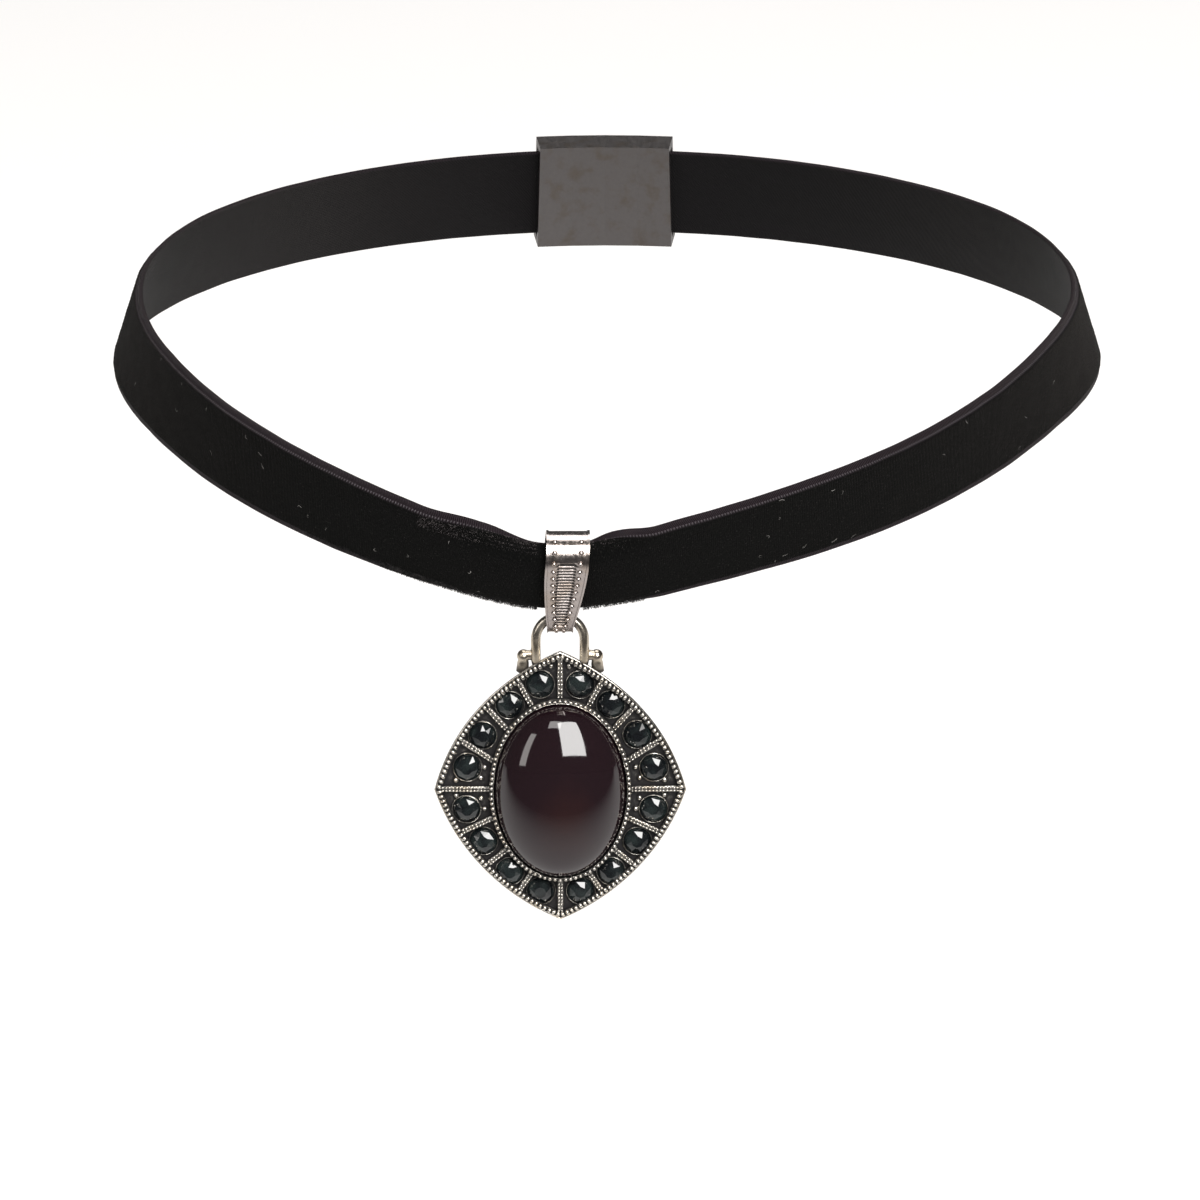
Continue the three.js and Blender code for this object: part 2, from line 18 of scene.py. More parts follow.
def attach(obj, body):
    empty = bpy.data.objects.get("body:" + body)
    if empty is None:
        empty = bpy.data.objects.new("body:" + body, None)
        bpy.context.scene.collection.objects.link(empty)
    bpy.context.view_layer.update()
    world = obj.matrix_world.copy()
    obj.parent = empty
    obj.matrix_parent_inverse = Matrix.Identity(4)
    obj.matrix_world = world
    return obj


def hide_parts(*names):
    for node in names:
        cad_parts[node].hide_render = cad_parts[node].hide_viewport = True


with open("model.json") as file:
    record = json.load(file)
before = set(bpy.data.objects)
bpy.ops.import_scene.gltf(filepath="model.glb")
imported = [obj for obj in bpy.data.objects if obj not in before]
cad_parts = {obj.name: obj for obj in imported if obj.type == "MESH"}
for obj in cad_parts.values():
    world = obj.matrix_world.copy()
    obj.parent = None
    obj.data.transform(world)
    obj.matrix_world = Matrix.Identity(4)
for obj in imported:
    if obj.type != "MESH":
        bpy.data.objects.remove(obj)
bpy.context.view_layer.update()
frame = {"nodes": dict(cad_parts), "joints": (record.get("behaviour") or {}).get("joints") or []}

MM = 0.001
FLOOR_LEVEL = -0.075
SWING = Vector(frame["joints"][0]["pos_m"])

# Ribbon loop, in millimetres and degrees
RIBBON_WIDTH = 10.0
LOOP_HALF_WIDTH = 50.2
LOOP_HALF_DEPTH = 50.0
LOOP_RISE = 15.0
FRONT_DROP = 15.0
BAIL_SIDEWAYS = -5.0
RIGHT_LAG = 8.0
BAIL_LEAN = 31.0
TOP_CURL_ANGLE = 105.0
TOP_CURL_RADIUS = 0.9
TOP_CURL_LIP = 1.1
HEM_CURL_ANGLE = 40.0
HEM_CURL_RADIUS = 1.2
HEM_CURL_LIP = 1.0
CURL_HOLD = 2.7
CURL_REACH_LEFT = 15.0
CURL_REACH_RIGHT = 10.0
CLASP_WEB = 1.4
CLASP_GAP = 0.25

# Angle from the front, share of the loop's rise, share of the bail's lean
RIBBON_COURSE = [
    (0, 0, 1),
    (5, 0.03, 1),
    (14, 0.17, 0.86),
    (28, 0.38, 0.56),
    (45, 0.6, 0.24),
    (65, 0.8, -0.12),
    (90, 0.9, -0.55),
    (125, 0.96, -0.5),
    (180, 1, -0.4),
]

# Cloth of the ribbon: bare woven edges, and the pile between them
SELVAGE_WIDTH = 0.72
PILE_SHOULDER = 0.16
PILE_TOP = 0.46
BASE_TOP = 0.12
BASE_BACK = -0.34
PILE_ROW = 0.2
THREAD = 0.3
ROW_STEP_FRONT = 0.62
ROW_STEP_BACK = 1.5
LINT_CURLS = 34

# Bail
BAIL_SHEET = 0.5
BAIL_TOP_WIDTH = 4.3
BAIL_FOOT_WIDTH = 2.6
BAIL_LENGTH = 8.6
BAIL_TOP_RADIUS = 2.0
BAIL_SLANT = 4.5
BAIL_RIM_HEIGHT = 0.09
BAIL_RIB_HEIGHT = 0.1
BAIL_FIELD_DEPTH = 0.07
BAIL_STEP = 0.72
BAIL_BEAD_INSET = 0.84
BAIL_RIB_PITCH = 0.42
BAIL_BEAD_PITCH = 1.02
BAIL_BEAD_RADIUS = 0.27
BAIL_FOOT_TURN = 140.0
BAIL_BACK_LEAN = 40.0
ROWS_IN_A_RIB = 6
FOOT_BEAD_ACROSS = 0.28

# Pendant, on the bench with its back at height 0
HALF_WIDTH = 12.7
HALF_HEIGHT = 13.85
SIDE_SAG = 2.05
TOP_RISE = 0.65
PLATE_BACK = 0.12
WALL_TOP = 1.95
FLOOR_HEIGHT = 1.3
RIM_WIDTH = 0.6
RIM_TRACK = 0.44
CABOCHON_HALF_WIDTH = 6.6
CABOCHON_HALF_HEIGHT = 9.1
CABOCHON_BASE = 1.36
CABOCHON_GIRDLE = 2.15
CABOCHON_DOME = 4.0
BEZEL_WALL = 0.45
BEZEL_HEIGHT = 2.7
BEZEL_TRACK = 0.33
SETTING_GAP = 0.07
BEZEL_EDGE = SETTING_GAP + BEZEL_WALL
RIDGE_WIDTH = 0.56
RIDGE_FOOT = 0.9
RIDGE_HEIGHT = 1.86
RIDGE_BEAD_PITCH = 0.33
RIDGE_BEAD_ROW = 0.145
STONE_RADIUS = 1.37
STONE_GIRDLE = 1.42
STONE_TOP = 2.05
COLLAR_WALL = 0.15
RIM_BEADS = 148
BEZEL_BEADS = 98
GRAIN_RADIUS = 0.27
CAST_EDGE = 0.03

# Turn above the level in degrees, share of the way from the bezel to the rim
STONE_PLACES = [(79.6, 0.58), (60, 0.61), (35.8, 0.6), (13, 0.59)]

# Half sizes of a bead: along its row, across it, upwards
RIM_BEAD = (0.205, 0.3, 0.25)
BEZEL_BEAD = (0.2, 0.23, 0.23)
RIDGE_BEAD = (0.155, 0.135, 0.17)

# Steps of an inset, each inwards and then up
RIM_STEPS = [(0.07, 0.1), (0.1, 0), (0.04, -0.1), (0.46, 0), (0.05, FLOOR_HEIGHT - WALL_TOP)]
BACK_STEPS = [(0.1, 0.12), (0.5, 0), (0.1, -0.2)]
COLLAR_STEPS = [(0.05, 0.06), (0.03, 0), (0.04, -0.3)]

# Rows of a cut stone: points, share of the radius, share of the crown's height, part turn
STONE_ROWS = [(8, 0.82, 0.66, 0.5), (8, 0.44, 1.0, 0.0), (16, 0.92, -0.14, 0.0)]

# Hanging ring
WIRE_RADIUS = 0.48
RING_RADIUS = 2.43
RING_LEGS = 2.15
RING_FOOT = 0.6
RING_HEIGHT = 1.93
RING_CENTRE = 15.78
KNOB_RADIUS = 0.66
KNOB_X = 3.66
KNOB_Y = 13.95
WIRE_GAP = 0.2

ARCH_DROP = RING_RADIUS - math.sqrt(RING_RADIUS ** 2 - (BAIL_FOOT_WIDTH / 2) ** 2)
FOOT_RADIUS = WIRE_RADIUS + ARCH_DROP / 2 + WIRE_GAP + BAIL_SHEET / 2
SWING_HEIGHT = RING_CENTRE + RING_RADIUS - ARCH_DROP / 2
PENDANT_PLACE = (
    Matrix.Translation(SWING + Vector((0, RING_HEIGHT, -SWING_HEIGHT)) * MM)
    @ Matrix.Rotation(math.radians(90), 4, "X")
    @ Matrix.Scale(MM, 4)
)
BAIL_PLACE = (
    Matrix.Translation(SWING)
    @ Matrix.Rotation(math.radians(90 + BAIL_LEAN), 4, "X")
    @ Matrix.Scale(MM, 4)
)


def held(value, low=0, high=1):
    """The value, kept between two limits."""
    return min(max(value, low), high)


def eased(share):
    return share * share * (3 - 2 * share)


# Bench helpers

def clear_selection():
    for obj in list(bpy.context.selected_objects):
        obj.select_set(False)


def take_up(obj):
    clear_selection()
    obj.select_set(True)
    bpy.context.view_layer.objects.active = obj


def add(primitive, name, **sizes):
    """A named primitive, fresh on the bench."""
    clear_selection()
    getattr(bpy.ops.mesh, "primitive_" + primitive + "_add")(**sizes)
    obj = bpy.context.active_object
    obj.name = name
    obj.data.name = name
    return obj


def apply_place(obj):
    take_up(obj)
    bpy.ops.object.transform_apply(location=True, rotation=True, scale=True)


class shaping:
    """Edit mode on one piece."""

    def __init__(self, obj, mode="FACE"):
        self.obj = obj
        self.mode = mode

    def __enter__(self):
        take_up(self.obj)
        bpy.ops.object.mode_set(mode="EDIT")
        bpy.ops.mesh.select_mode(type=self.mode)
        return self

    def __exit__(self, *_):
        bpy.ops.object.mode_set(mode="OBJECT")

    def pick_faces(self, wanted):
        bpy.ops.mesh.select_all(action="DESELECT")
        mesh = bmesh.from_edit_mesh(self.obj.data)
        for face in mesh.faces:
            face.select_set(wanted(face.calc_center_median(), face.normal))
        bmesh.update_edit_mesh(self.obj.data)

    def pick_top(self):
        self.pick_faces(lambda _, normal: normal.z > 0.9)

    def pick_back(self):
        self.pick_faces(lambda _, normal: normal.z < -0.9)

    def pick_points(self, wanted):
        bpy.ops.mesh.select_all(action="DESELECT")
        mesh = bmesh.from_edit_mesh(self.obj.data)
        for point in mesh.verts:
            point.select_set(wanted(point.co))
        mesh.select_flush(True)
        bmesh.update_edit_mesh(self.obj.data)


def pick_all():
    bpy.ops.mesh.select_all(action="SELECT")


def move(x=0, y=0, z=0):
    bpy.ops.transform.translate(value=(x, y, z))


def resize(x=1, y=1, z=1):
    bpy.ops.transform.resize(value=(x, y, z))


def draw_out(x=0, y=0, z=0):
    bpy.ops.mesh.extrude_region_move(TRANSFORM_OT_translate={"value": (x, y, z)})


def inset(thickness, depth=0.0, even=True):
    bpy.ops.mesh.inset(
        thickness=thickness, depth=depth, use_even_offset=even, use_boundary=True,
    )


def close_up(merge=None):
    """Merges doubled points where asked, and turns every face outwards."""
    pick_all()
    if merge:
        bpy.ops.mesh.remove_doubles(threshold=merge)
    bpy.ops.mesh.normals_make_consistent(inside=False)


def use_modifier(obj, kind, name, **settings):
    take_up(obj)
    modifier = obj.modifiers.new(name, kind)
    for key, value in settings.items():
        setattr(modifier, key, value)
    bpy.ops.object.modifier_apply(modifier=modifier.name)


def bevel_edges(obj, width, segments=1, angle=40):
    use_modifier(
        obj, "BEVEL", "soft edges", width=width, segments=segments,
        limit_method="ANGLE", angle_limit=math.radians(angle), use_clamp_overlap=True,
    )


def smooth(obj, angle=40):
    take_up(obj)
    bpy.ops.object.shade_smooth_by_angle(angle=math.radians(angle))


def shade(obj, rounded, wanted=lambda face: True):
    for face in obj.data.polygons:
        if wanted(face):
            face.use_smooth = rounded


def new_object(name, data):
    obj = bpy.data.objects.new(name, data)
    bpy.context.scene.collection.objects.link(obj)
    return obj


def mesh_object(name, points, faces):
    data = bpy.data.meshes.new(name)
    data.from_pydata(points, [], faces)
    data.update()
    return new_object(name, data)


def joined(name, pieces):
    """One object from several, which it uses up."""
    clear_selection()
    for piece in pieces:
        piece.select_set(True)
    bpy.context.view_layer.objects.active = pieces[0]
    bpy.ops.object.join()
    pieces[0].name = name
    pieces[0].data.name = name
    return pieces[0]


def copies(pattern, name, places):
    """One object holding a copy of the pattern's mesh at each place."""
    mesh = bmesh.new()
    for place in places:
        known = len(mesh.verts)
        mesh.from_mesh(pattern.data)
        mesh.verts.ensure_lookup_table()
        bmesh.ops.transform(mesh, matrix=place, verts=mesh.verts[known:])
    data = bpy.data.meshes.new(name)
    mesh.to_mesh(data)
    mesh.free()
    obj = new_object(name, data)
    shade(obj, True)
    return obj


def drop(*pieces):
    for piece in pieces:
        bpy.data.objects.remove(piece)


def tipped(draw, most):
    """A small random turn about both level axes."""
    first = Matrix.Rotation(draw.uniform(-most, most), 4, "X")
    return first @ Matrix.Rotation(draw.uniform(-most, most), 4, "Y")


def mark(obj, name, values):
    obj.data.attributes.new(name, "FLOAT", "POINT").data.foreach_set("value", values)


def mark_recess(obj, low, high, axis=2):
    """Marks, on the bench, what stays dark: all below low along an axis, fading out at high."""
    span = high - low
    mark(obj, "recess", [held((high - point.co[axis]) / span) for point in obj.data.vertices])


def mark_channel(plate):
    """Marks the floor and the bead track of the plate, and leaves its wall and back."""
    rim, tarnish = 0.19, 0.8
    marks = []
    for point in plate.data.vertices:
        x, y, height = point.co
        inside = math.hypot(x, y) < rim_reach(math.atan2(y, x), rim)
        marks.append(tarnish if inside and FLOOR_HEIGHT - 0.1 < height < WALL_TOP + 0.05 else 0.0)
    mark(plate, "recess", marks)


def finish_piece(obj, place, body, material, replaced=()):
    """Stands a bench piece in its place and gives it its body and finish."""
    apply_place(obj)
    obj.data.transform(place)
    obj.data.materials.clear()
    obj.data.materials.append(material)
    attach(obj, body)
    if replaced:
        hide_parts(*replaced)
    return obj


# Materials

def material_tree(name):
    material = bpy.data.materials.new(name)
    material.use_nodes = True
    tree = material.node_tree
    tree.nodes.clear()
    output = tree.nodes.new("ShaderNodeOutputMaterial")
    shader = tree.nodes.new("ShaderNodeBsdfPrincipled")
    tree.links.new(shader.outputs["BSDF"], output.inputs["Surface"])
    return material, tree, shader


def feed(tree, node, inputs):
    """Gives a node its inputs, as values or as sockets."""
    for key, value in inputs.items():
        if isinstance(value, bpy.types.NodeSocket):
            tree.links.new(value, node.inputs[key])
        elif node.inputs[key].type == "RGBA" and len(value) == 3:
            node.inputs[key].default_value = (*value, 1)
        else:
            node.inputs[key].default_value = value


def put(tree, kind, inputs=None, **settings):
    """A node with its settings and inputs."""
    node = tree.nodes.new("ShaderNode" + kind)
    for key, value in settings.items():
        setattr(node, key, value)
    feed(tree, node, inputs or {})
    return node


def sums(tree, operation, first, second=0.0, clamp=False):
    return put(tree, "Math", {0: first, 1: second}, operation=operation, use_clamp=clamp).outputs[0]


def plus(tree, first, second, clamp=False):
    return sums(tree, "ADD", first, second, clamp)


def minus(tree, first, second):
    return sums(tree, "SUBTRACT", first, second)


def times(tree, first, second, clamp=False):
    return sums(tree, "MULTIPLY", first, second, clamp)


def mottle(tree, place, scale, detail):
    return put(tree, "TexNoise", {"Vector": place, "Scale": scale, "Detail": detail}).outputs[0]


def ramp(tree, value, low, high, low_to=0.0, high_to=1.0):
    return put(tree, "MapRange", {
        "Value": value, "From Min": low, "From Max": high, "To Min": low_to, "To Max": high_to,
    }, interpolation_type="SMOOTHSTEP").outputs["Result"]


def colour_mix(tree, share, first, second, blend="MIX"):
    inputs = {"Factor": share, 6: first, 7: second}
    return put(tree, "Mix", data_type="RGBA", blend_type=blend, inputs=inputs).outputs[2]


def shades(tree, value, low, high, dark, light):
    """Dark where the value is low, light where it is high."""
    return colour_mix(tree, ramp(tree, value, low, high), dark, light)


def object_place(tree):
    return put(tree, "TexCoord").outputs["Object"]


def patina_group():
    """Old cast metal: dark in the recesses, rubbed bright on what stands out."""
    tree = bpy.data.node_groups.new("rubbed_patina", "ShaderNodeTree")
    for way, names in (
        ("INPUT", (("Openness", "Float"), ("Bright", "Color"), ("Dark", "Color"),
                   ("Polish", "Float"), ("Grain Scale", "Float"))),
        ("OUTPUT", (("Color", "Color"), ("Roughness", "Float"),
                    ("Metallic", "Float"), ("Height", "Float"))),
    ):
        for name, kind in names:
            tree.interface.new_socket(name, in_out=way, socket_type="NodeSocket" + kind)
    given = tree.nodes.new("NodeGroupInput").outputs
    result = tree.nodes.new("NodeGroupOutput")
    place = object_place(tree)
    fine = mottle(tree, place, given["Grain Scale"], 5.0)
    broad = mottle(tree, place, times(tree, given["Grain Scale"], 0.22), 3.0)
    uneven = times(tree, minus(tree, fine, 0.5), 0.5)
    rubbed = ramp(tree, plus(tree, given["Openness"], uneven, clamp=True), 0.4, 0.82)
    warm = colour_mix(tree, 1.0, given["Bright"], (0.9, 0.84, 0.755), "MULTIPLY")
    metal = colour_mix(tree, ramp(tree, broad, 0.45, 0.75), given["Bright"], warm)
    polish = plus(tree, given["Polish"], ramp(tree, fine, 0.3, 0.75, -0.06, 0.1))
    tarnish = times(tree, minus(tree, 1.0, rubbed), 0.3)
    feed(tree, result, {
        "Color": colour_mix(tree, rubbed, given["Dark"], metal),
        "Roughness": plus(tree, polish, tarnish, clamp=True),
        "Metallic": ramp(tree, rubbed, 0.0, 0.5, 0.45, 1.0),
        "Height": fine,
    })
    return tree


def patina_metal(name, group, bright, dark, polish, grain, reach, relief):
    """Metal that wears the patina, with its recesses found within a reach or marked."""
    material, tree, shader = material_tree(name)
    opening = put(tree, "AmbientOcclusion", {"Distance": reach * MM}, samples=8).outputs["AO"]
    recess = put(tree, "Attribute", attribute_name="recess").outputs["Fac"]
    patina = put(tree, "Group", {
        "Openness": minus(tree, opening, times(tree, recess, 0.5)),
        "Bright": bright, "Dark": dark, "Polish": polish, "Grain Scale": grain,
    }, node_tree=group).outputs
    bump = put(tree, "Bump", {
        "Height": patina["Height"], "Strength": 0.5, "Distance": relief * MM,
    })
    feed(tree, shader, {
        "Base Color": patina["Color"], "Roughness": patina["Roughness"],
        "Metallic": patina["Metallic"], "Normal": bump.outputs[0],
    })
    return material


def velvet_material():
    """Cut pile between woven edges. The cut map gives metres along and across."""
    material, tree, shader = material_tree("black_velvet")
    cut = put(tree, "UVMap", uv_map="cut").outputs[0]
    u, v = put(tree, "SeparateXYZ", {0: cut}).outputs[0:2]
    side = put(tree, "Attribute", attribute_name="pile").outputs["Fac"]
    pile = times(tree, side, 1.0, clamp=True)
    back = times(tree, side, -1.0, clamp=True)
    soft = mottle(tree, cut, 900.0, 3.0)
    tufts = mottle(tree, cut, 5200.0, 4.0)

    def turns(along, pitch):
        return times(tree, along, 2 * math.pi / (pitch * MM))

    rib = sums(tree, "SINE", plus(tree, turns(u, PILE_ROW), times(tree, soft, 5.0)))
    twill = plus(tree, turns(u, THREAD * 0.6), turns(v, THREAD * 1.4))
    weave = sums(tree, "SINE", plus(tree, twill, times(tree, soft, 3.0)))
    stitch = sums(tree, "SINE", turns(u, THREAD))
    seam = (RIBBON_WIDTH / 2 - SELVAGE_WIDTH + 0.02) * MM
    near_seam = sums(tree, "ABSOLUTE", minus(tree, sums(tree, "ABSOLUTE", v), seam))
    seam_band = ramp(tree, near_seam, 0.03 * MM, 0.1 * MM, 1.0, 0.0)
    dots = times(tree, seam_band, ramp(tree, stitch, 0.35, 0.8))

    deep = shades(tree, tufts, 0.35, 0.75, (0.0005, 0.0006, 0.0005), (0.0025, 0.0026, 0.0022))
    tips = shades(tree, tufts, 0.62, 0.76, deep, (0.02, 0.019, 0.0175))
    satin = shades(tree, weave, -0.4, 0.7, (0.005, 0.0035, 0.0045), (0.03, 0.022, 0.027))
    lining = shades(tree, weave, -0.6, 0.8, (0.004, 0.0037, 0.004), (0.007, 0.0065, 0.007))
    satin = colour_mix(tree, back, colour_mix(tree, dots, satin, (0.1, 0.09, 0.098)), lining)
    piled = plus(tree, times(tree, rib, 0.35), times(tree, tufts, 2.2))
    height = put(tree, "Mix", {
        "Factor": pile, "A": times(tree, weave, 0.7), "B": piled,
    }, data_type="FLOAT").outputs[0]
    bump = put(tree, "Bump", {"Height": height, "Strength": 0.9, "Distance": 0.05 * MM})
    feed(tree, shader, {
        "Base Color": colour_mix(tree, pile, satin, tips),
        "Roughness": ramp(tree, pile, 0.2, 0.8, 0.5, 0.95),
        "Normal": bump.outputs[0],
        "Specular IOR Level": 0.12,
        "Sheen Weight": 0.03,
        "Sheen Roughness": 0.35,
        "Sheen Tint": (0.75, 0.66, 0.62),
    })
    return material


def fibre_material(name, dark, light):
    material, tree, shader = material_tree(name)
    clumps = mottle(tree, object_place(tree), 2600.0, 2.0)
    feed(tree, shader, {
        "Base Color": shades(tree, clumps, 0.35, 0.7, dark, light),
        "Roughness": 0.8, "Specular IOR Level": 0.3,
    })
    return material


def cabochon_material():
    """Very dark wine glass with a painted inner glow: browner and lighter towards a point low in
    its middle, where light through the glass would show.
    """
    material, tree, shader = material_tree("dark_wine_glass")
    place = object_place(tree)
    # Centre of the painted inner glow, a little below the middle of the dome.
    glow_centre = PENDANT_PLACE @ Vector((0.4, -1.6, 3.0))
    moved = put(tree, "Mapping", {"Vector": place, "Location": tuple(-c for c in glow_centre)})
    spread = put(tree, "Mapping", {"Vector": moved.outputs[0], "Scale": (150.0, 150.0, 105.0)})
    far = put(tree, "VectorMath", {0: spread.outputs[0]}, operation="LENGTH").outputs["Value"]
    depth = plus(tree, far, times(tree, mottle(tree, place, 170.0, 3.0), 0.5))
    smear = mottle(tree, place, 420.0, 4.0)
    feed(tree, shader, {
        # Painted inner glow: lighter brown near the glow centre, fading out to the glass's own dark
        # wine.
        "Base Color": shades(
            tree, depth, 0.25, 0.95, (0.027, 0.0095, 0.0075), (0.0095, 0.0042, 0.0058),
        ),
        "Roughness": ramp(tree, smear, 0.4, 0.75, 0.05, 0.1),
        "IOR": 1.62, "Coat Weight": 0.3, "Coat Roughness": 0.02,
    })
    return material


def stone_material():
    """Black cut stone with a faint green-grey body."""
    material, tree, shader = material_tree("black_cut_stone")
    cloud = mottle(tree, object_place(tree), 650.0, 2.0)
    feed(tree, shader, {
        "Base Color": shades(tree, cloud, 0.35, 0.7, (0.003, 0.004, 0.005), (0.012, 0.017, 0.017)),
        "Roughness": ramp(tree, cloud, 0.3, 0.8, 0.03, 0.1),
        "IOR": 1.85,
    })
    return material


# Ribbon

def course_at(angle):
    """Rise above the front in millimetres, and lean in radians."""
    lag = RIGHT_LAG * math.sin(math.radians(angle * 2)) ** 2 if 0 < angle < 90 else 0
    size = abs(angle) - lag
    knots = [knot[0] for knot in RIBBON_COURSE]
    last = len(knots) - 2
    i = held(bisect.bisect_left(knots, size) - 1, 0, last)
    start, stop = RIBBON_COURSE[i], RIBBON_COURSE[i + 1]
    before, after = RIBBON_COURSE[max(i - 1, 0)], RIBBON_COURSE[min(i + 2, last + 1)]
    span = stop[0] - start[0]
    t = (size - start[0]) / span

    def slope(first, second, key):
        return (second[key] - first[key]) / (second[0] - first[0]) * span

    def blend(key):
        slope_from = 0 if i == 0 else slope(before, stop, key)
        slope_to = 0 if i == last else slope(start, after, key)
        return (
            (2 * t ** 3 - 3 * t ** 2 + 1) * start[key] + (t ** 3 - 2 * t ** 2 + t) * slope_from
            + (3 * t ** 2 - 2 * t ** 3) * stop[key] + (t ** 3 - t ** 2) * slope_to
        )

    return blend(1) * LOOP_RISE, math.radians(blend(2) * BAIL_LEAN)


def loop_point(angle):
    turn = math.radians(angle)
    sideways = BAIL_SIDEWAYS * math.cos(turn) ** 2 if abs(angle) < 90 else 0
    return Vector((
        LOOP_HALF_WIDTH * math.sin(turn) + sideways,
        -LOOP_HALF_DEPTH * math.cos(turn),
        course_at(angle)[0] - FRONT_DROP,
    ))


def loop_frame(angle):
    """Origin, along, up across the ribbon, and out, at an angle round the loop."""
    step = 0.25
    along = (loop_point(angle + step) - loop_point(angle - step)).normalized()
    turn = math.radians(angle)
    flat_out = Vector((math.sin(turn) / LOOP_HALF_WIDTH, -math.cos(turn) / LOOP_HALF_DEPTH, 0))
    upright = flat_out.cross(along).normalized()
    outward = along.cross(upright).normalized()
    lean = course_at(angle)[1]
    up = upright * math.cos(lean) + outward * math.sin(lean)
    return loop_point(angle), along, up, along.cross(up).normalized()


def curl_share(angle):
    """How far the cloth is rolled over: wholly in the bail, not at all past its reach."""
    distance = abs(math.radians(angle)) * LOOP_HALF_WIDTH
    reach = CURL_REACH_LEFT if angle < 0 else CURL_REACH_RIGHT
    return 1 - eased(held((distance - CURL_HOLD) / (reach - CURL_HOLD)))


def curl_turn(station, share):
    """Turn of the ribbon's section, away from flat, at a station across it."""
    top_angle, hem_angle = math.radians(TOP_CURL_ANGLE), math.radians(HEM_CURL_ANGLE)
    top_start = RIBBON_WIDTH / 2 - TOP_CURL_LIP - TOP_CURL_RADIUS * top_angle
    hem_start = -RIBBON_WIDTH / 2 + HEM_CURL_LIP + HEM_CURL_RADIUS * hem_angle
    top = held((station - top_start) / TOP_CURL_RADIUS, 0, top_angle)
    hem = held((hem_start - station) / HEM_CURL_RADIUS, 0, hem_angle)
    return (top - hem) * share


def ribbon_stations():
    """Stations across the cloth, closer together at the edges of the pile."""
    half = RIBBON_WIDTH / 2
    edge = [0, 0.12, 0.3, 0.5, SELVAGE_WIDTH - 0.06, SELVAGE_WIDTH, SELVAGE_WIDTH + 0.06,
            SELVAGE_WIDTH + PILE_SHOULDER,
            1.05, 1.3, 1.6, 1.9, 2.2, 2.5, 2.8, 3.1, 3.6, 4.2, 4.6]
    return [-half + step for step in edge] + [0.0] + [half - step for step in reversed(edge)]


def cloth_heights(station):
    """Front and back of the cloth above its middle surface, and the pile's share."""
    from_edge = RIBBON_WIDTH / 2 - abs(station)
    share = eased(held((from_edge - SELVAGE_WIDTH) / PILE_SHOULDER + 0.3))
    edge = min(from_edge / 0.12, 1)
    front = BASE_TOP + (PILE_TOP - BASE_TOP) * share
    return front * (0.4 + 0.6 * edge), BASE_BACK * (0.5 + 0.5 * edge), share


def ribbon_section(stations, share):
    """Middle surface of the section: out, up and turn at each station."""
    substeps = 4
    places = [(0.0, 0.0, curl_turn(stations[0], share))]
    for before, station in zip(stations, stations[1:]):
        out, up, _ = places[-1]
        step = (station - before) / substeps
        for j in range(substeps):
            turn = curl_turn(before + step * (j + 0.5), share)
            out -= math.sin(turn) * step
            up += math.cos(turn) * step
        places.append((out, up, curl_turn(station, share)))
    middle = places[stations.index(0.0)]
    return [(out - middle[0], up - middle[1], turn) for out, up, turn in places]


class RibbonCloth:
    """Places on the ribbon's cloth, by angle round the loop and station across it."""

    def __init__(self):
        self.stations = ribbon_stations()
        self.end = 180 - math.degrees((CLASP_WEB / 2 + CLASP_GAP) / LOOP_HALF_WIDTH)
        self.frames = {}

    def row(self, angle):
        if angle not in self.frames:
            section = ribbon_section(self.stations, curl_share(angle))
            self.frames[angle] = (loop_frame(angle), section)
        return self.frames[angle]

    def point(self, angle, index, height):
        (origin, _, up, out), section = self.row(angle)
        across_out, across_up, turn = section[index]
        return (
            origin
            + out * (across_out + height * math.cos(turn))
            + up * (across_up + height * math.sin(turn))
        )

    def front(self, index):
        return cloth_heights(self.stations[index])[0]

    def normal(self, angle, index):
        (_, _, up, out), section = self.row(angle)
        turn = section[index][2]
        return out * math.cos(turn) + up * math.sin(turn)


def row_angles(end):
    """Half a millimetre apart where the front camera sees, wider behind."""
    angles = []
    angle = -end
    while angle < end:
        angles.append(angle)
        angle += ROW_STEP_FRONT if abs(angle) < 96 else ROW_STEP_BACK
    return angles + [end]


def make_ribbon(cloth):
    """The closed cloth with its cut map and pile shares. Returns it and its length."""
    angles = row_angles(cloth.end)
    count = len(cloth.stations)
    profile = [cloth_heights(station) for station in cloth.stations]
    ring = [(i, 0) for i in range(count)] + [(i, 1) for i in reversed(range(count))]
    points, marks, lengths = [], [], []
    length = 0.0
    last = None
    for angle in angles:
        here = loop_point(angle)
        length += (here - last).length if last else 0.0
        last = here
        lengths.append(length)
        for index, side in ring:
            station = cloth.stations[index]
            share = profile[index][2]
            height = profile[index][side]
            height += noise.noise(Vector((length * 0.35, station * 0.5, 3.0))) * 0.05
            if side == 0:
                height += noise.noise(Vector((length * 2.6, station * 2.4, 9.0))) * 0.035 * share
                marks.append(share)
            else:
                marks.append(-min((RIBBON_WIDTH / 2 - abs(station)) / 0.3, 1))
            points.append(cloth.point(angle, index, height) * MM)
    size = len(ring)
    faces = []
    for row in range(len(angles) - 1):
        here, following = row * size, (row + 1) * size
        for i in range(size):
            j = (i + 1) % size
            faces.append((here + i, following + i, following + j, here + j))
    faces.append(tuple(range(size)))
    faces.append(tuple(reversed(range((len(angles) - 1) * size, len(angles) * size))))
    ribbon = mesh_object("velvet_ribbon", points, faces)
    mark(ribbon, "pile", marks)
    cut = ribbon.data.uv_layers.new(name="cut")
    for loop in ribbon.data.loops:
        row, place = divmod(loop.vertex_index, size)
        across = cloth.stations[ring[place][0]]
        cut.data[loop.index].uv = (lengths[row] * MM, across * MM)
    shade(ribbon, True)
    return ribbon, length


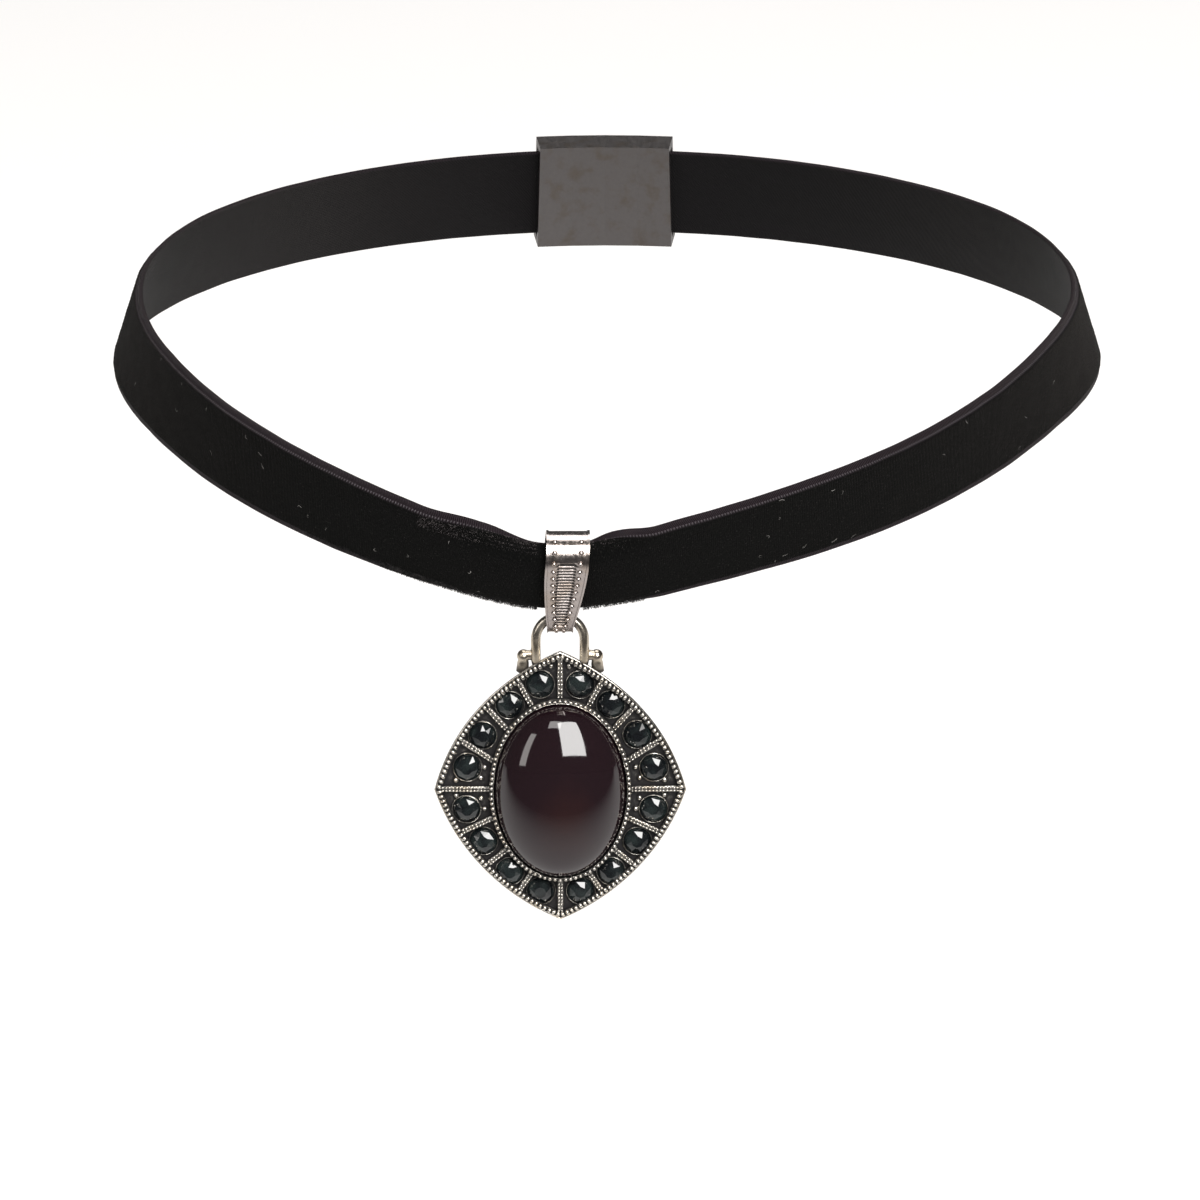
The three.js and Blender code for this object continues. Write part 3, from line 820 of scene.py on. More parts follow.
def fibre(points, faces, root, direction, side, length, width, bend):
    """A tapering hair of two short stretches."""
    middle = root + direction * (length * 0.55)
    tip = root + direction * length + bend * length
    known = len(points)
    half = side * (width / 2)
    points += [root - half, root + half, middle + half * 0.8, middle - half * 0.8, tip]
    faces += [(known, known + 1, known + 2, known + 3), (known + 3, known + 2, known + 4)]


def make_fringe(cloth, name, seed, spans):
    """Loose pile hairs on stretches of the cloth.

    Each span is a range of angles, a range of station numbers, how many hairs,
    their length and width, and how far they lie over across the ribbon.
    """
    draw = random.Random(seed)
    points, faces = [], []
    for (low, high), (first, last), count, length, width, lay in spans:
        for _ in range(count):
            angle = round(draw.uniform(low, high), 1)
            index = draw.randint(first, last)
            root = cloth.point(angle, index, cloth.front(index) - 0.06)
            (_, along, up, _), _ = cloth.row(angle)
            root = root + up * draw.uniform(-0.28, 0.28)
            direction = (
                cloth.normal(angle, index)
                + up * (lay + draw.uniform(-0.5, 0.5)) + along * draw.uniform(-0.6, 0.6)
            )
            direction.normalize()
            side = direction.cross(Vector([draw.uniform(-1, 1) for _ in range(3)]))
            bend = along * draw.uniform(-0.5, 0.5) + up * draw.uniform(-0.4, 0.4)
            fibre(points, faces, root, direction, side.normalized(),
                  length * draw.uniform(0.6, 1.2), width, bend * 0.5)
    return mesh_object(name, [point * MM for point in points], faces)


def make_lint(cloth):
    """Sparse light curls of lint that cling to the pile."""
    draw = random.Random(41)
    steps = 6
    points, faces = [], []
    for _ in range(LINT_CURLS):
        angle = round(draw.uniform(-75, 75), 1)
        index = draw.randint(8, len(cloth.stations) - 9)
        here = cloth.point(angle, index, cloth.front(index) + 0.04)
        (_, along, up, _), _ = cloth.row(angle)
        out = cloth.normal(angle, index)
        heading = draw.uniform(0, math.tau)
        turn = draw.uniform(-0.9, 0.9)
        step = draw.uniform(0.07, 0.14)
        width = draw.uniform(0.02, 0.04)
        known = len(points)
        for i in range(steps):
            forward = along * math.cos(heading) + up * math.sin(heading)
            side = out.cross(forward) * (width / 2)
            points += [here - side, here + side]
            if i:
                at = known + i * 2
                faces.append((at - 2, at - 1, at + 1, at))
            here = here + forward * step
            heading += turn
    return mesh_object("lint", [point * MM for point in points], faces)


# Bail

def bail_course():
    """Closed course of the strap's middle, as out, up, starting at its back foot."""
    turn = math.radians(BAIL_FOOT_TURN)
    steps = 40
    course = []
    for i in range(steps):
        angle = -turn + turn * i / steps
        course.append((FOOT_RADIUS * math.cos(angle), FOOT_RADIUS * math.sin(angle)))
    course += [(FOOT_RADIUS, BAIL_LENGTH * i / steps) for i in range(steps)]
    for i in range(steps):
        angle = math.pi * i / steps
        course.append((
            FOOT_RADIUS - BAIL_TOP_RADIUS + BAIL_TOP_RADIUS * math.cos(angle),
            BAIL_LENGTH + BAIL_TOP_RADIUS * math.sin(angle),
        ))
    head = Vector((FOOT_RADIUS - 2 * BAIL_TOP_RADIUS, BAIL_LENGTH))
    foot = Vector(course[0])
    lean = math.radians(BAIL_BACK_LEAN)
    away = Vector((-math.sin(lean), math.cos(lean)))
    low = Vector((head.x, BAIL_LENGTH * 0.46))
    pull = foot + away * (BAIL_LENGTH * 0.3)
    for i in range(steps + 1):
        t = i / steps
        course.append(tuple(
            head * (1 - t) ** 3 + low * (3 * t * (1 - t) ** 2)
            + pull * (3 * t * t * (1 - t)) + foot * t ** 3
        ))
    return [Vector(place) for place in course]


class StrapCourse:
    """Places along the strap's course, by distance from its back foot."""

    def __init__(self):
        self.places = bail_course()
        self.marks = running_lengths(self.places)
        self.length = self.marks[-1]
        self.front = FOOT_RADIUS * math.radians(BAIL_FOOT_TURN)
        self.head = self.front + BAIL_LENGTH

    def at(self, distance):
        """Point and outward normal."""
        distance = held(distance, 0.0, self.length)
        i = held(bisect.bisect_right(self.marks, distance) - 1, 0, len(self.marks) - 2)
        start, stop = self.places[i], self.places[i + 1]
        share = (distance - self.marks[i]) / (self.marks[i + 1] - self.marks[i])
        tangent = self.tangent(i).lerp(self.tangent(i + 1), share).normalized()
        return start.lerp(stop, share), Vector((tangent.y, -tangent.x))

    def tangent(self, i):
        last = len(self.places) - 1
        before = self.places[i - 1] if i > 0 else self.places[last - 1]
        after = self.places[i + 1] if i < last else self.places[1]
        return (after - before).normalized()

    def half_width(self, distance):
        share = held(self.at(distance)[0].y / BAIL_LENGTH)
        taper = (BAIL_TOP_WIDTH - BAIL_FOOT_WIDTH) * (1 - share) ** 1.6
        return (BAIL_TOP_WIDTH - taper) / 2

    def wrap(self, flat):
        """A point of the flat strap, in half widths across, on the folded strap."""
        place, normal = self.at(flat.x)
        slope = math.tan(math.radians(BAIL_SLANT)) * max(place.y, 0.0)
        place = place + normal * flat.z
        return Vector((slope - flat.y * self.half_width(flat.x), place.y, place.x))


def make_bail(course):
    """A flat strap with rims and ribs, folded round its course."""
    rows = round(course.length / (BAIL_RIB_PITCH / ROWS_IN_A_RIB))
    strap = add("grid", "bail_strap", x_subdivisions=rows, y_subdivisions=20, size=2)
    resize(course.length / 2)
    move(course.length / 2, 0, BAIL_SHEET / 2)
    apply_place(strap)
    step = course.length / rows
    rib_start = course.front + 0.3
    rib_end = course.head + BAIL_STEP
    face = BAIL_SHEET / 2

    def in_field(co, start):
        return co.z > 0 and abs(co.y) < 0.5 and start < co.x < rib_end

    with shaping(strap, "VERT") as work:
        pick_all()
        draw_out(z=-BAIL_SHEET)
        work.pick_points(lambda co: in_field(co, rib_start)
                         and round(co.x / step) % ROWS_IN_A_RIB in (0, 1, 2))
        move(z=-BAIL_RIB_HEIGHT)
        work.pick_points(lambda co: in_field(co, rib_start - step))
        move(z=-BAIL_FIELD_DEPTH)
        bpy.ops.mesh.select_mode(type="FACE")
        work.pick_faces(lambda centre, _: centre.z > face - 0.01 and abs(centre.y) > 0.9)
        draw_out(z=BAIL_RIM_HEIGHT)
        work.pick_faces(lambda centre, normal: abs(normal.x) > 0.95
                        and not 0.01 < centre.x < course.length - 0.01)
        bpy.ops.mesh.delete(type="FACE")
        close_up()
    deepest = BAIL_RIB_HEIGHT + BAIL_FIELD_DEPTH
    mark(strap, "recess", [
        held((face - point.co.z) / deepest) ** 2 if point.co.z > 0 else 0.0
        for point in strap.data.vertices
    ])
    for point in strap.data.vertices:
        point.co = course.wrap(point.co)
    with shaping(strap, "VERT"):
        close_up(merge=0.004)
    smooth(strap)
    return strap


def bead_pattern(radius, segments=8, rings=6):
    """A bead that spreads a little at its foot."""
    bead = add("uv_sphere", "bead_pattern", segments=segments, ring_count=rings, radius=radius)
    with shaping(bead) as work:
        work.pick_faces(lambda centre, _: centre.z < -radius * 0.5)
        resize(1.15, 1.15)
    return bead


def make_bail_beads(course):
    """Rows of beads inside both rims, and two across the foot."""
    pattern = bead_pattern(BAIL_BEAD_RADIUS, 10, 8)
    places = []

    def seat_pair(distance, across):
        for side in (across, -across):
            spot = course.wrap(Vector((distance, side, BAIL_SHEET / 2)))
            normal = course.at(distance)[1]
            outward = Vector((0, normal.y, normal.x)).to_track_quat("Z", "Y")
            places.append(Matrix.Translation(spot) @ outward.to_matrix().to_4x4())

    first = course.front + 0.25
    last = course.head + BAIL_TOP_RADIUS * 1.34
    count = round((last - first) / BAIL_BEAD_PITCH)
    for i in range(count + 1):
        distance = first + (last - first) * i / count
        seat_pair(distance, 1 - BAIL_BEAD_INSET / course.half_width(distance))
    seat_pair(course.front - 0.3, FOOT_BEAD_ACROSS)
    beads = copies(pattern, "bail_beads", places)
    drop(pattern)
    return beads


# Pendant casting

def arc_centre():
    """Centre and radius of the upper right side's arc."""
    chord = math.hypot(HALF_WIDTH, HALF_HEIGHT)
    radius = chord ** 2 / (8 * SIDE_SAG) + SIDE_SAG / 2
    back = radius - SIDE_SAG
    return (
        HALF_WIDTH / 2 - HALF_HEIGHT / chord * back,
        HALF_HEIGHT / 2 - HALF_WIDTH / chord * back,
        radius,
    )


def rim_reach(angle, inwards=0.0):
    """Distance from the middle to the cushion outline, at an angle in radians."""
    x, y, radius = arc_centre()
    ray = (abs(math.cos(angle)), abs(math.sin(angle)))
    along = ray[0] * x + ray[1] * y
    return along + math.sqrt(along * along - x * x - y * y + (radius - inwards) ** 2)


def oval_reach(angle, half_width, half_height):
    return 1 / math.hypot(math.cos(angle) / half_width, math.sin(angle) / half_height)


def around_cabochon(angle, outwards):
    return oval_reach(angle, CABOCHON_HALF_WIDTH + outwards, CABOCHON_HALF_HEIGHT + outwards)


def stone_centres():
    """The sixteen small stones, clockwise from the top right."""
    quarter = []
    for turn, share in STONE_PLACES:
        angle = math.radians(turn)
        inside = around_cabochon(angle, BEZEL_EDGE)
        reach = inside + (rim_reach(angle, RIM_WIDTH) - inside) * share
        quarter.append((reach * math.cos(angle), reach * math.sin(angle)))
    right = quarter + [(x, -y) for x, y in reversed(quarter)]
    left = [(-x, y) for x, y in reversed(right)]
    return [Vector((x, y)) for x, y in right + left]


def make_plate():
    """The cushion plate: a quarter of its outline, mirrored, then its rim and channel."""
    x, y, radius = arc_centre()
    middle = math.atan2(HALF_HEIGHT / 2 - y, HALF_WIDTH / 2 - x)
    half_turn = math.asin(math.hypot(HALF_WIDTH, HALF_HEIGHT) / 2 / radius)
    side_points = 10.85
    plate = add("circle", "pendant_plate", radius=radius,
                vertices=4 * round(side_points * math.tau / half_turn / 4),
                location=(x, y, PLATE_BACK), rotation=(0, 0, middle))
    apply_place(plate)
    with shaping(plate, "EDGE"):
        for plane in ((1, 0, 0), (0, 1, 0)):
            pick_all()
            bpy.ops.mesh.bisect(plane_co=(0, 0, 0), plane_no=plane, clear_inner=True)
    use_modifier(plate, "MIRROR", "four sides", use_axis=(True, True, False), merge_threshold=0.02)
    with shaping(plate, "EDGE") as work:
        pick_all()
        bpy.ops.mesh.remove_doubles(threshold=0.02)
        bpy.ops.mesh.edge_face_add()
        bpy.ops.mesh.select_mode(type="FACE")
        pick_all()
        draw_out(z=WALL_TOP - PLATE_BACK)
        close_up()
        work.pick_top()
        for thickness, depth in RIM_STEPS:
            inset(thickness, depth, even=False)
        work.pick_back()
        resize(0.968, 0.968)
        for thickness, depth in BACK_STEPS:
            inset(thickness, depth, even=False)
        work.pick_faces(lambda centre, normal: abs(normal.z) > 0.9
                        and math.hypot(centre.x, centre.y) < 1)
        bpy.ops.mesh.poke()
    bevel_edges(plate, CAST_EDGE)
    smooth(plate)
    shade(plate, False, lambda face: abs(face.normal.z) > 0.99)
    return plate


def raise_top(obj):
    """Draws the plate's upper sides up a little, more at the rim than beside the bezel."""
    half_width, half_height = CABOCHON_HALF_WIDTH + 0.6, CABOCHON_HALF_HEIGHT + 0.6
    for vertex in obj.data.vertices:
        x, y, _ = vertex.co
        towards_rim = held((math.hypot(x / half_width, y / half_height) - 1.03) / 0.3)
        upwards = held(y / 7)
        vertex.co.y += TOP_RISE * towards_rim * upwards * (2 - upwards)


def make_bezel():
    """Oval cup wall: a track for its beads and a thin lip against the cabochon."""
    low, high = FLOOR_HEIGHT - 0.05, BEZEL_HEIGHT - 0.25
    bezel = add("cylinder", "bezel", vertices=160, radius=1, depth=2,
                location=(0, 0, (low + high) / 2))
    bezel.scale = (
        CABOCHON_HALF_WIDTH + BEZEL_EDGE, CABOCHON_HALF_HEIGHT + BEZEL_EDGE, (high - low) / 2,
    )
    apply_place(bezel)
    cup_depth = FLOOR_HEIGHT + 0.04 - high - 0.22
    with shaping(bezel) as work:
        work.pick_top()
        for step in ((0.06, 0.08), (0.24, 0), (0.04, 0.14), (0.05, 0), (0.03, cup_depth)):
            inset(*step)
    bevel_edges(bezel, CAST_EDGE, 2)
    smooth(bezel, 50)
    return bezel


def running_lengths(path):
    marks = [0.0]
    for before, place in zip(path, path[1:]):
        marks.append(marks[-1] + (place - before).length)
    return marks


def along_path(reach, count, height):
    """Even places round a closed path given by its reach at each angle, with their headings."""
    steps = 1440
    angles = [math.tau * i / steps for i in range(steps + 1)]
    path = [Vector((reach(a) * math.cos(a), reach(a) * math.sin(a))) for a in angles]
    marks = running_lengths(path)
    places = []
    for i in range(count):
        distance = marks[-1] * (i + 0.5) / count
        j = bisect.bisect_right(marks, distance) - 1
        spot = path[j].lerp(path[j + 1], (distance - marks[j]) / (marks[j + 1] - marks[j]))
        heading = path[j + 1] - path[j]
        places.append((Vector((spot.x, spot.y, height)), math.atan2(heading.y, heading.x)))
    return places


def uneven_places(places, seed, sizes):
    """Bead placements with a cast piece's small differences in size and turn."""
    draw = random.Random(seed)
    result = []
    for spot, heading in places:
        size = Matrix.Diagonal((*(side * draw.uniform(0.9, 1.08) for side in sizes), 1))
        nudge = Vector([draw.uniform(-low, 0.02) for low in (0.02, 0.02, 0.03)])
        turn = Matrix.Rotation(heading + draw.uniform(-0.12, 0.12), 4, "Z")
        result.append(Matrix.Translation(spot + nudge) @ turn @ size)
    return result


def beading(name, spots, seed, sizes, *roundness):
    """One object of cast beads at the given places and headings."""
    pattern = bead_pattern(1.0, *roundness)
    beads = copies(pattern, name, uneven_places(spots, seed, sizes))
    drop(pattern)
    return beads


def make_rim_beads():
    track = along_path(lambda angle: rim_reach(angle, RIM_TRACK), RIM_BEADS, 2.0)
    return beading("rim_beading", track, 5, RIM_BEAD)


def make_bezel_beads():
    height = BEZEL_HEIGHT - 0.17
    track = along_path(lambda angle: around_cabochon(angle, BEZEL_TRACK), BEZEL_BEADS, height)
    return beading("bezel_beading", track, 6, BEZEL_BEAD)


def ridge_lines():
    """Where each ridge runs: its inner end, outer end and heading."""
    stones = stone_centres()
    step = 0.02
    half_width, half_height = CABOCHON_HALF_WIDTH + 0.4, CABOCHON_HALF_HEIGHT + 0.4
    lines = []
    for stone, following in zip(stones, stones[1:] + stones[:1]):
        middle = (stone + following) / 2
        between = (following - stone).normalized()
        outward = Vector((-between.y, between.x))
        if outward.dot(middle) < 0:
            outward.negate()
        inside = middle.copy()
        while (inside.x / half_width) ** 2 + (inside.y / half_height) ** 2 > 1:
            inside -= outward * step
        outside = middle.copy()
        while outside.length < rim_reach(math.atan2(outside.y, outside.x), RIM_WIDTH):
            outside += outward * step
        lines.append((inside, outside, math.atan2(outward.y, outward.x)))
    return lines


def make_ridges():
    """Low walls between the stones, narrower at the top."""
    walls = []
    for inside, outside, heading in ridge_lines():
        middle = (inside + outside) / 2
        wall = add("cube", "wall", size=1, rotation=(0, 0, heading),
                   location=(middle.x, middle.y, (RIDGE_HEIGHT + RIDGE_FOOT) / 2))
        wall.scale = ((outside - inside).length, RIDGE_WIDTH, RIDGE_HEIGHT - RIDGE_FOOT)
        apply_place(wall)
        walls.append(wall)
    ridges = joined("ridges", walls)
    with shaping(ridges) as work:
        work.pick_top()
        inset(0.07, 0.06)
    bevel_edges(ridges, CAST_EDGE)
    smooth(ridges)
    return ridges


def make_ridge_beads():
    """Two rows of small beads along the top of each ridge."""
    spots = []
    for inside, outside, heading in ridge_lines():
        run = outside - inside
        count = round((run.length - 0.3) / RIDGE_BEAD_PITCH)
        across = Vector((-run.y, run.x)).normalized() * RIDGE_BEAD_ROW
        for i in range(count):
            spot = inside + run * ((i + 0.7) / (count + 0.4))
            for side in (-1, 1):
                place = spot + across * side
                spots.append((Vector((place.x, place.y, RIDGE_HEIGHT + 0.06)), heading))
    return beading("ridge_beading", spots, 7, RIDGE_BEAD)


def make_grains():
    """Small balls cast in the side cells and beside the top ridge."""
    side = STONE_RADIUS + GRAIN_RADIUS * 1.6
    spots = []
    for stone in stone_centres():
        across = math.copysign(1, stone.x)
        inner = -math.copysign(1, stone.y)
        if abs(stone.y) < HALF_HEIGHT * 0.2:
            spots.append((stone.x + across * side * 0.62, stone.y + inner * side * 0.8))
            spots.append((stone.x - across * side * 0.78, stone.y + inner * side * 0.62))
            spots.append((stone.x - across * side, stone.y))
        if stone.y > HALF_HEIGHT * 0.7:
            spots.append((stone.x - across * side * 0.62, stone.y + side * 0.78))
    height = FLOOR_HEIGHT + GRAIN_RADIUS * 0.75
    places = [(Vector((x, y, height)), 0.0) for x, y in spots]
    return beading("grains", places, 8, (GRAIN_RADIUS,) * 3, 12, 8)


def make_seats():
    """A thin upstanding collar round each stone."""
    collar = add("cylinder", "collar", vertices=28, radius=STONE_RADIUS + COLLAR_WALL, depth=0.5,
                 location=(0, 0, FLOOR_HEIGHT + 0.02))
    apply_place(collar)
    with shaping(collar) as work:
        work.pick_top()
        for step in COLLAR_STEPS:
            inset(*step)
    bevel_edges(collar, 0.02)
    draw = random.Random(12)
    places = []
    for centre in stone_centres():
        places.append(Matrix.Translation((centre.x, centre.y, 0)) @ tipped(draw, 0.05))
    seats = copies(collar, "stone_seats", places)
    drop(collar)
    smooth(seats)
    return seats


def make_ring():
    """Round wire: a leg drawn up from its foot, spun over the arch and drawn down again."""
    foot_scale, foot_drop = 0.8, 0.45
    ring = add("circle", "hanging_ring", vertices=20, radius=WIRE_RADIUS * foot_scale,
               fill_type="NGON", rotation=(math.radians(90), 0, 0),
               location=(RING_RADIUS, RING_CENTRE - RING_LEGS - RING_FOOT,
                         RING_HEIGHT - foot_drop))
    apply_place(ring)
    with shaping(ring) as work:
        work.pick_faces(lambda *_: True)
        draw_out(0, RING_FOOT, foot_drop)
        resize(1 / foot_scale, 1, 1 / foot_scale)
        draw_out(0, RING_LEGS)
        bpy.ops.mesh.spin(steps=30, angle=-math.pi, center=(0, RING_CENTRE, RING_HEIGHT),
                          axis=(0, 0, 1))
        draw_out(0, -RING_LEGS)
        draw_out(0, -RING_FOOT, -foot_drop)
        resize(foot_scale, 1, foot_scale)
        close_up(merge=0.001)
    smooth(ring, 60)
    return ring


def make_knobs():
    """Round ears that flank the ring's feet and run down into the rim, each with an arm."""
    pieces = []
    for side in (-1, 1):
        knob = add("uv_sphere", "knob", segments=20, ring_count=14, radius=KNOB_RADIUS)
        with shaping(knob) as work:
            bpy.ops.transform.rotate(value=math.radians(90), orient_axis="X",
                                     center_override=(0, 0, 0))
            work.pick_faces(lambda centre, _: centre.y < -KNOB_RADIUS * 0.62)
            draw_out(0, -KNOB_RADIUS * 0.4)
            resize(1.12)
            draw_out(0, -KNOB_RADIUS * 1.5, -0.2)
            resize(1.1)
        knob.location = (side * KNOB_X, KNOB_Y, RING_HEIGHT - 0.4)
        knob.rotation_euler = (0, 0, math.radians(4 * side))
        apply_place(knob)
        run = KNOB_X - RING_RADIUS
        arm = add("cylinder", "arm", vertices=16, radius=KNOB_RADIUS * 0.68, depth=run,
                  location=(side * (RING_RADIUS + run / 2), KNOB_Y + 0.12, RING_HEIGHT - 0.3),
                  rotation=(0, math.radians(90), 0))
        apply_place(arm)
        with shaping(arm) as work:
            work.pick_faces(lambda _, normal: normal.x * side < -0.9)
            resize(1, 1.3, 1.1)
        pieces += [knob, arm]
    knobs = joined("ring_knobs", pieces)
    smooth(knobs, 50)
    return knobs


def make_cabochon():
    """Polished oval dome on a straight girdle, with a soft lower edge."""
    dome = add("uv_sphere", "oval_cabochon", segments=128, ring_count=64, radius=1)
    dome.scale = (CABOCHON_HALF_WIDTH, CABOCHON_HALF_HEIGHT, CABOCHON_DOME)
    dome.location = (0, 0, CABOCHON_GIRDLE)
    apply_place(dome)
    with shaping(dome) as work:
        pick_all()
        bpy.ops.mesh.bisect(plane_co=(0, 0, CABOCHON_GIRDLE + 0.001), plane_no=(0, 0, 1),
                            clear_inner=True, use_fill=True)
        work.pick_back()
        draw_out(z=CABOCHON_BASE - CABOCHON_GIRDLE)
        inset(0.15, 0.06)
    smooth(dome)
    return dome


def make_stones():
    """Brilliant-cut stones, each its own mesh, turned and tipped a little differently."""
    pattern = add("cylinder", "stone_pattern", vertices=16, radius=STONE_RADIUS, depth=0.14,
                  location=(0, 0, STONE_GIRDLE))
    apply_place(pattern)
    crown = STONE_TOP - STONE_GIRDLE
    for count, reach, height, phase in STONE_ROWS:
        row = add("circle", "row", vertices=count, radius=STONE_RADIUS * reach,
                  location=(0, 0, STONE_GIRDLE + height * crown),
                  rotation=(0, 0, math.tau * phase / count))
        apply_place(row)
        pattern = joined("stone_pattern", [pattern, row])
    with shaping(pattern, "VERT"):
        pick_all()
        bpy.ops.mesh.convex_hull()
        bpy.ops.mesh.normals_make_consistent(inside=False)
    draw = random.Random(23)
    stones = []
    for i, centre in enumerate(stone_centres(), 1):
        tip = tipped(draw, 0.1)
        turn = Matrix.Rotation(draw.uniform(0, math.tau), 4, "Z")
        girdle = Matrix.Translation((0, 0, STONE_GIRDLE))
        turned = girdle @ tip @ turn @ girdle.inverted()
        place = Matrix.Translation((centre.x, centre.y, 0)) @ turned
        stone = copies(pattern, f"cut_stone_{i:02d}", [place])
        shade(stone, False)
        stones.append(stone)
    drop(pattern)
    return stones


# Studio

def soft_light(name, direction, distance, size, strength, colour):
    """A rectangular soft light that faces the pendant."""
    light = bpy.data.lights.new(name, "AREA")
    light.shape = "RECTANGLE"
    light.size, light.size_y = size
    light.energy = strength
    light.color = colour
    aim = SWING + Vector((0, 0, -0.015))
    look_at(new_object(name, light), aim + Vector(direction).normalized() * distance, aim)


def look_at(obj, place, aim):
    obj.location = place
    obj.rotation_mode = "QUATERNION"
    obj.rotation_quaternion = (place - aim).to_track_quat("Z", "Y")


def set_dark_front():
    """The unlit room in front of the table. It shows in reflections alone."""
    height = FLOOR_LEVEL + 0.0005
    near, far, half_width = 0.4, -4.0, 4.0
    front = mesh_object("dark_front", [
        (-half_width, far, height), (half_width, far, height),
        (half_width, near, height), (-half_width, near, height),
    ], [(0, 1, 2, 3)])
    material, tree, shader = material_tree("unlit_room")
    place = put(tree, "SeparateXYZ", {0: object_place(tree)}).outputs[1]
    feed(tree, shader, {
        "Alpha": ramp(tree, place, -0.13, -0.045, 1.0, 0.35),
        "Emission Color": (1.0, 0.985, 0.97), "Emission Strength": 0.06,
        "Base Color": (0.01, 0.009, 0.01), "Roughness": 1.0, "Specular IOR Level": 0.0,
    })
    front.data.materials.append(material)
    for ray in ("camera", "diffuse", "shadow", "transmission"):
        setattr(front, "visible_" + ray, False)


def set_studio():
    """Pale paper floor, dark room in front, and soft windows."""
    floor = add("plane", "studio_floor", size=8, location=(0, 0, FLOOR_LEVEL))
    apply_place(floor)
    material, tree, shader = material_tree("pale_paper")
    grain = mottle(tree, object_place(tree), 3.0, 2.0)
    feed(tree, shader, {
        "Base Color": colour_mix(tree, grain, (0.93, 0.92, 0.91), (0.96, 0.955, 0.95)),
        "Roughness": 0.9, "Specular IOR Level": 0.1,
        "Emission Color": (1.0, 0.99, 0.98), "Emission Strength": 0.24,
    })
    floor.data.materials.append(material)
    set_dark_front()
    for name, direction, distance, size, strength, colour in (
        ("key_window", (0.27, -0.79, 0.56), 1.5, (0.88, 1.2), 34, (1.0, 0.985, 0.97)),
        ("upper_window", (-0.14, -0.63, 0.78), 1.5, (0.5, 0.36), 2.3, (1.0, 0.97, 0.95)),
        ("left_window", (-0.74, -0.6, 0.32), 1.6, (0.34, 0.85), 3.0, (1.0, 0.96, 0.93)),
        ("overhead", (0.05, 0.25, 1.0), 1.6, (1.0, 1.0), 9, (1.0, 0.99, 0.98)),
    ):
        soft_light(name, direction, distance, size, strength, colour)
    world = bpy.data.worlds.new("pale_room")
    world.use_nodes = True
    room = world.node_tree
    feed(room, room.nodes["Background"], {"Color": (1.0, 0.985, 0.97), "Strength": 0.07})
    bpy.context.scene.world = world


def set_camera():
    """Long lens, a little above the necklace, with the ring's wire left of centre."""
    elevation = math.radians(17)
    distance = 0.8
    looking = Vector((0, math.cos(elevation), -math.sin(elevation)))
    picture_up = Vector((0, math.sin(elevation), math.cos(elevation)))
    camera = bpy.data.cameras.new("camera")
    camera.lens = 240
    camera.sensor_width = 36
    camera.clip_start = 0.01
    obj = new_object("camera", camera)
    look_at(obj, SWING - looking * distance, SWING + Vector((0.004, 0, 0)) + picture_up * 0.0018)
    bpy.context.scene.camera = obj
    bpy.context.scene.view_settings.view_transform = "Standard"


# Dressing

def dress_pendant(silver, worn_silver, glass, black_glass):
    """Casting, beading, ring, cabochon and stones."""
    plate = make_plate()
    mark_channel(plate)
    raise_top(plate)
    finish_piece(plate, PENDANT_PLACE, "pendant", silver, ["pendant_frame"])
    ring_foot = RING_CENTRE - RING_LEGS
    # Maker, where its recess is darkest and where it ends, along which axis
    for make, low, high, axis in (
        (make_bezel, BEZEL_HEIGHT - 0.16, BEZEL_HEIGHT - 0.06, 2),
        (make_rim_beads, 1.88, 2.0, 2),
        (make_bezel_beads, BEZEL_HEIGHT - 0.3, BEZEL_HEIGHT - 0.17, 2),
        (make_ridges, RIDGE_HEIGHT - 0.1, RIDGE_HEIGHT + 0.09, 2),
        (make_ridge_beads, RIDGE_HEIGHT - 0.04, RIDGE_HEIGHT + 0.07, 2),
        (make_grains, FLOOR_HEIGHT, FLOOR_HEIGHT + 0.16, 2),
        (make_seats, FLOOR_HEIGHT, FLOOR_HEIGHT + 0.22, 2),
        (make_ring, ring_foot - RING_FOOT, ring_foot + 0.4, 1),
        (make_knobs, KNOB_Y - KNOB_RADIUS * 1.5, KNOB_Y - KNOB_RADIUS * 0.5, 1),
    ):
        casting = make()
        mark_recess(casting, low, high, axis)
        if make in (make_rim_beads, make_ridges, make_ridge_beads, make_grains):
            raise_top(casting)
        finish_piece(casting, PENDANT_PLACE, "pendant",
                     worn_silver if make in (make_ring, make_knobs) else silver)
    finish_piece(make_cabochon(), PENDANT_PLACE, "pendant", glass, ["cabochon"])
    for i, stone in enumerate(make_stones(), 1):
        finish_piece(stone, PENDANT_PLACE, "pendant", black_glass,
                     [f"stone_{i:02d}"])


def dress_bail(nickel):
    course = StrapCourse()
    finish_piece(make_bail(course), BAIL_PLACE, "band", nickel, ["bail"])
    finish_piece(make_bail_beads(course), BAIL_PLACE, "band", nickel)


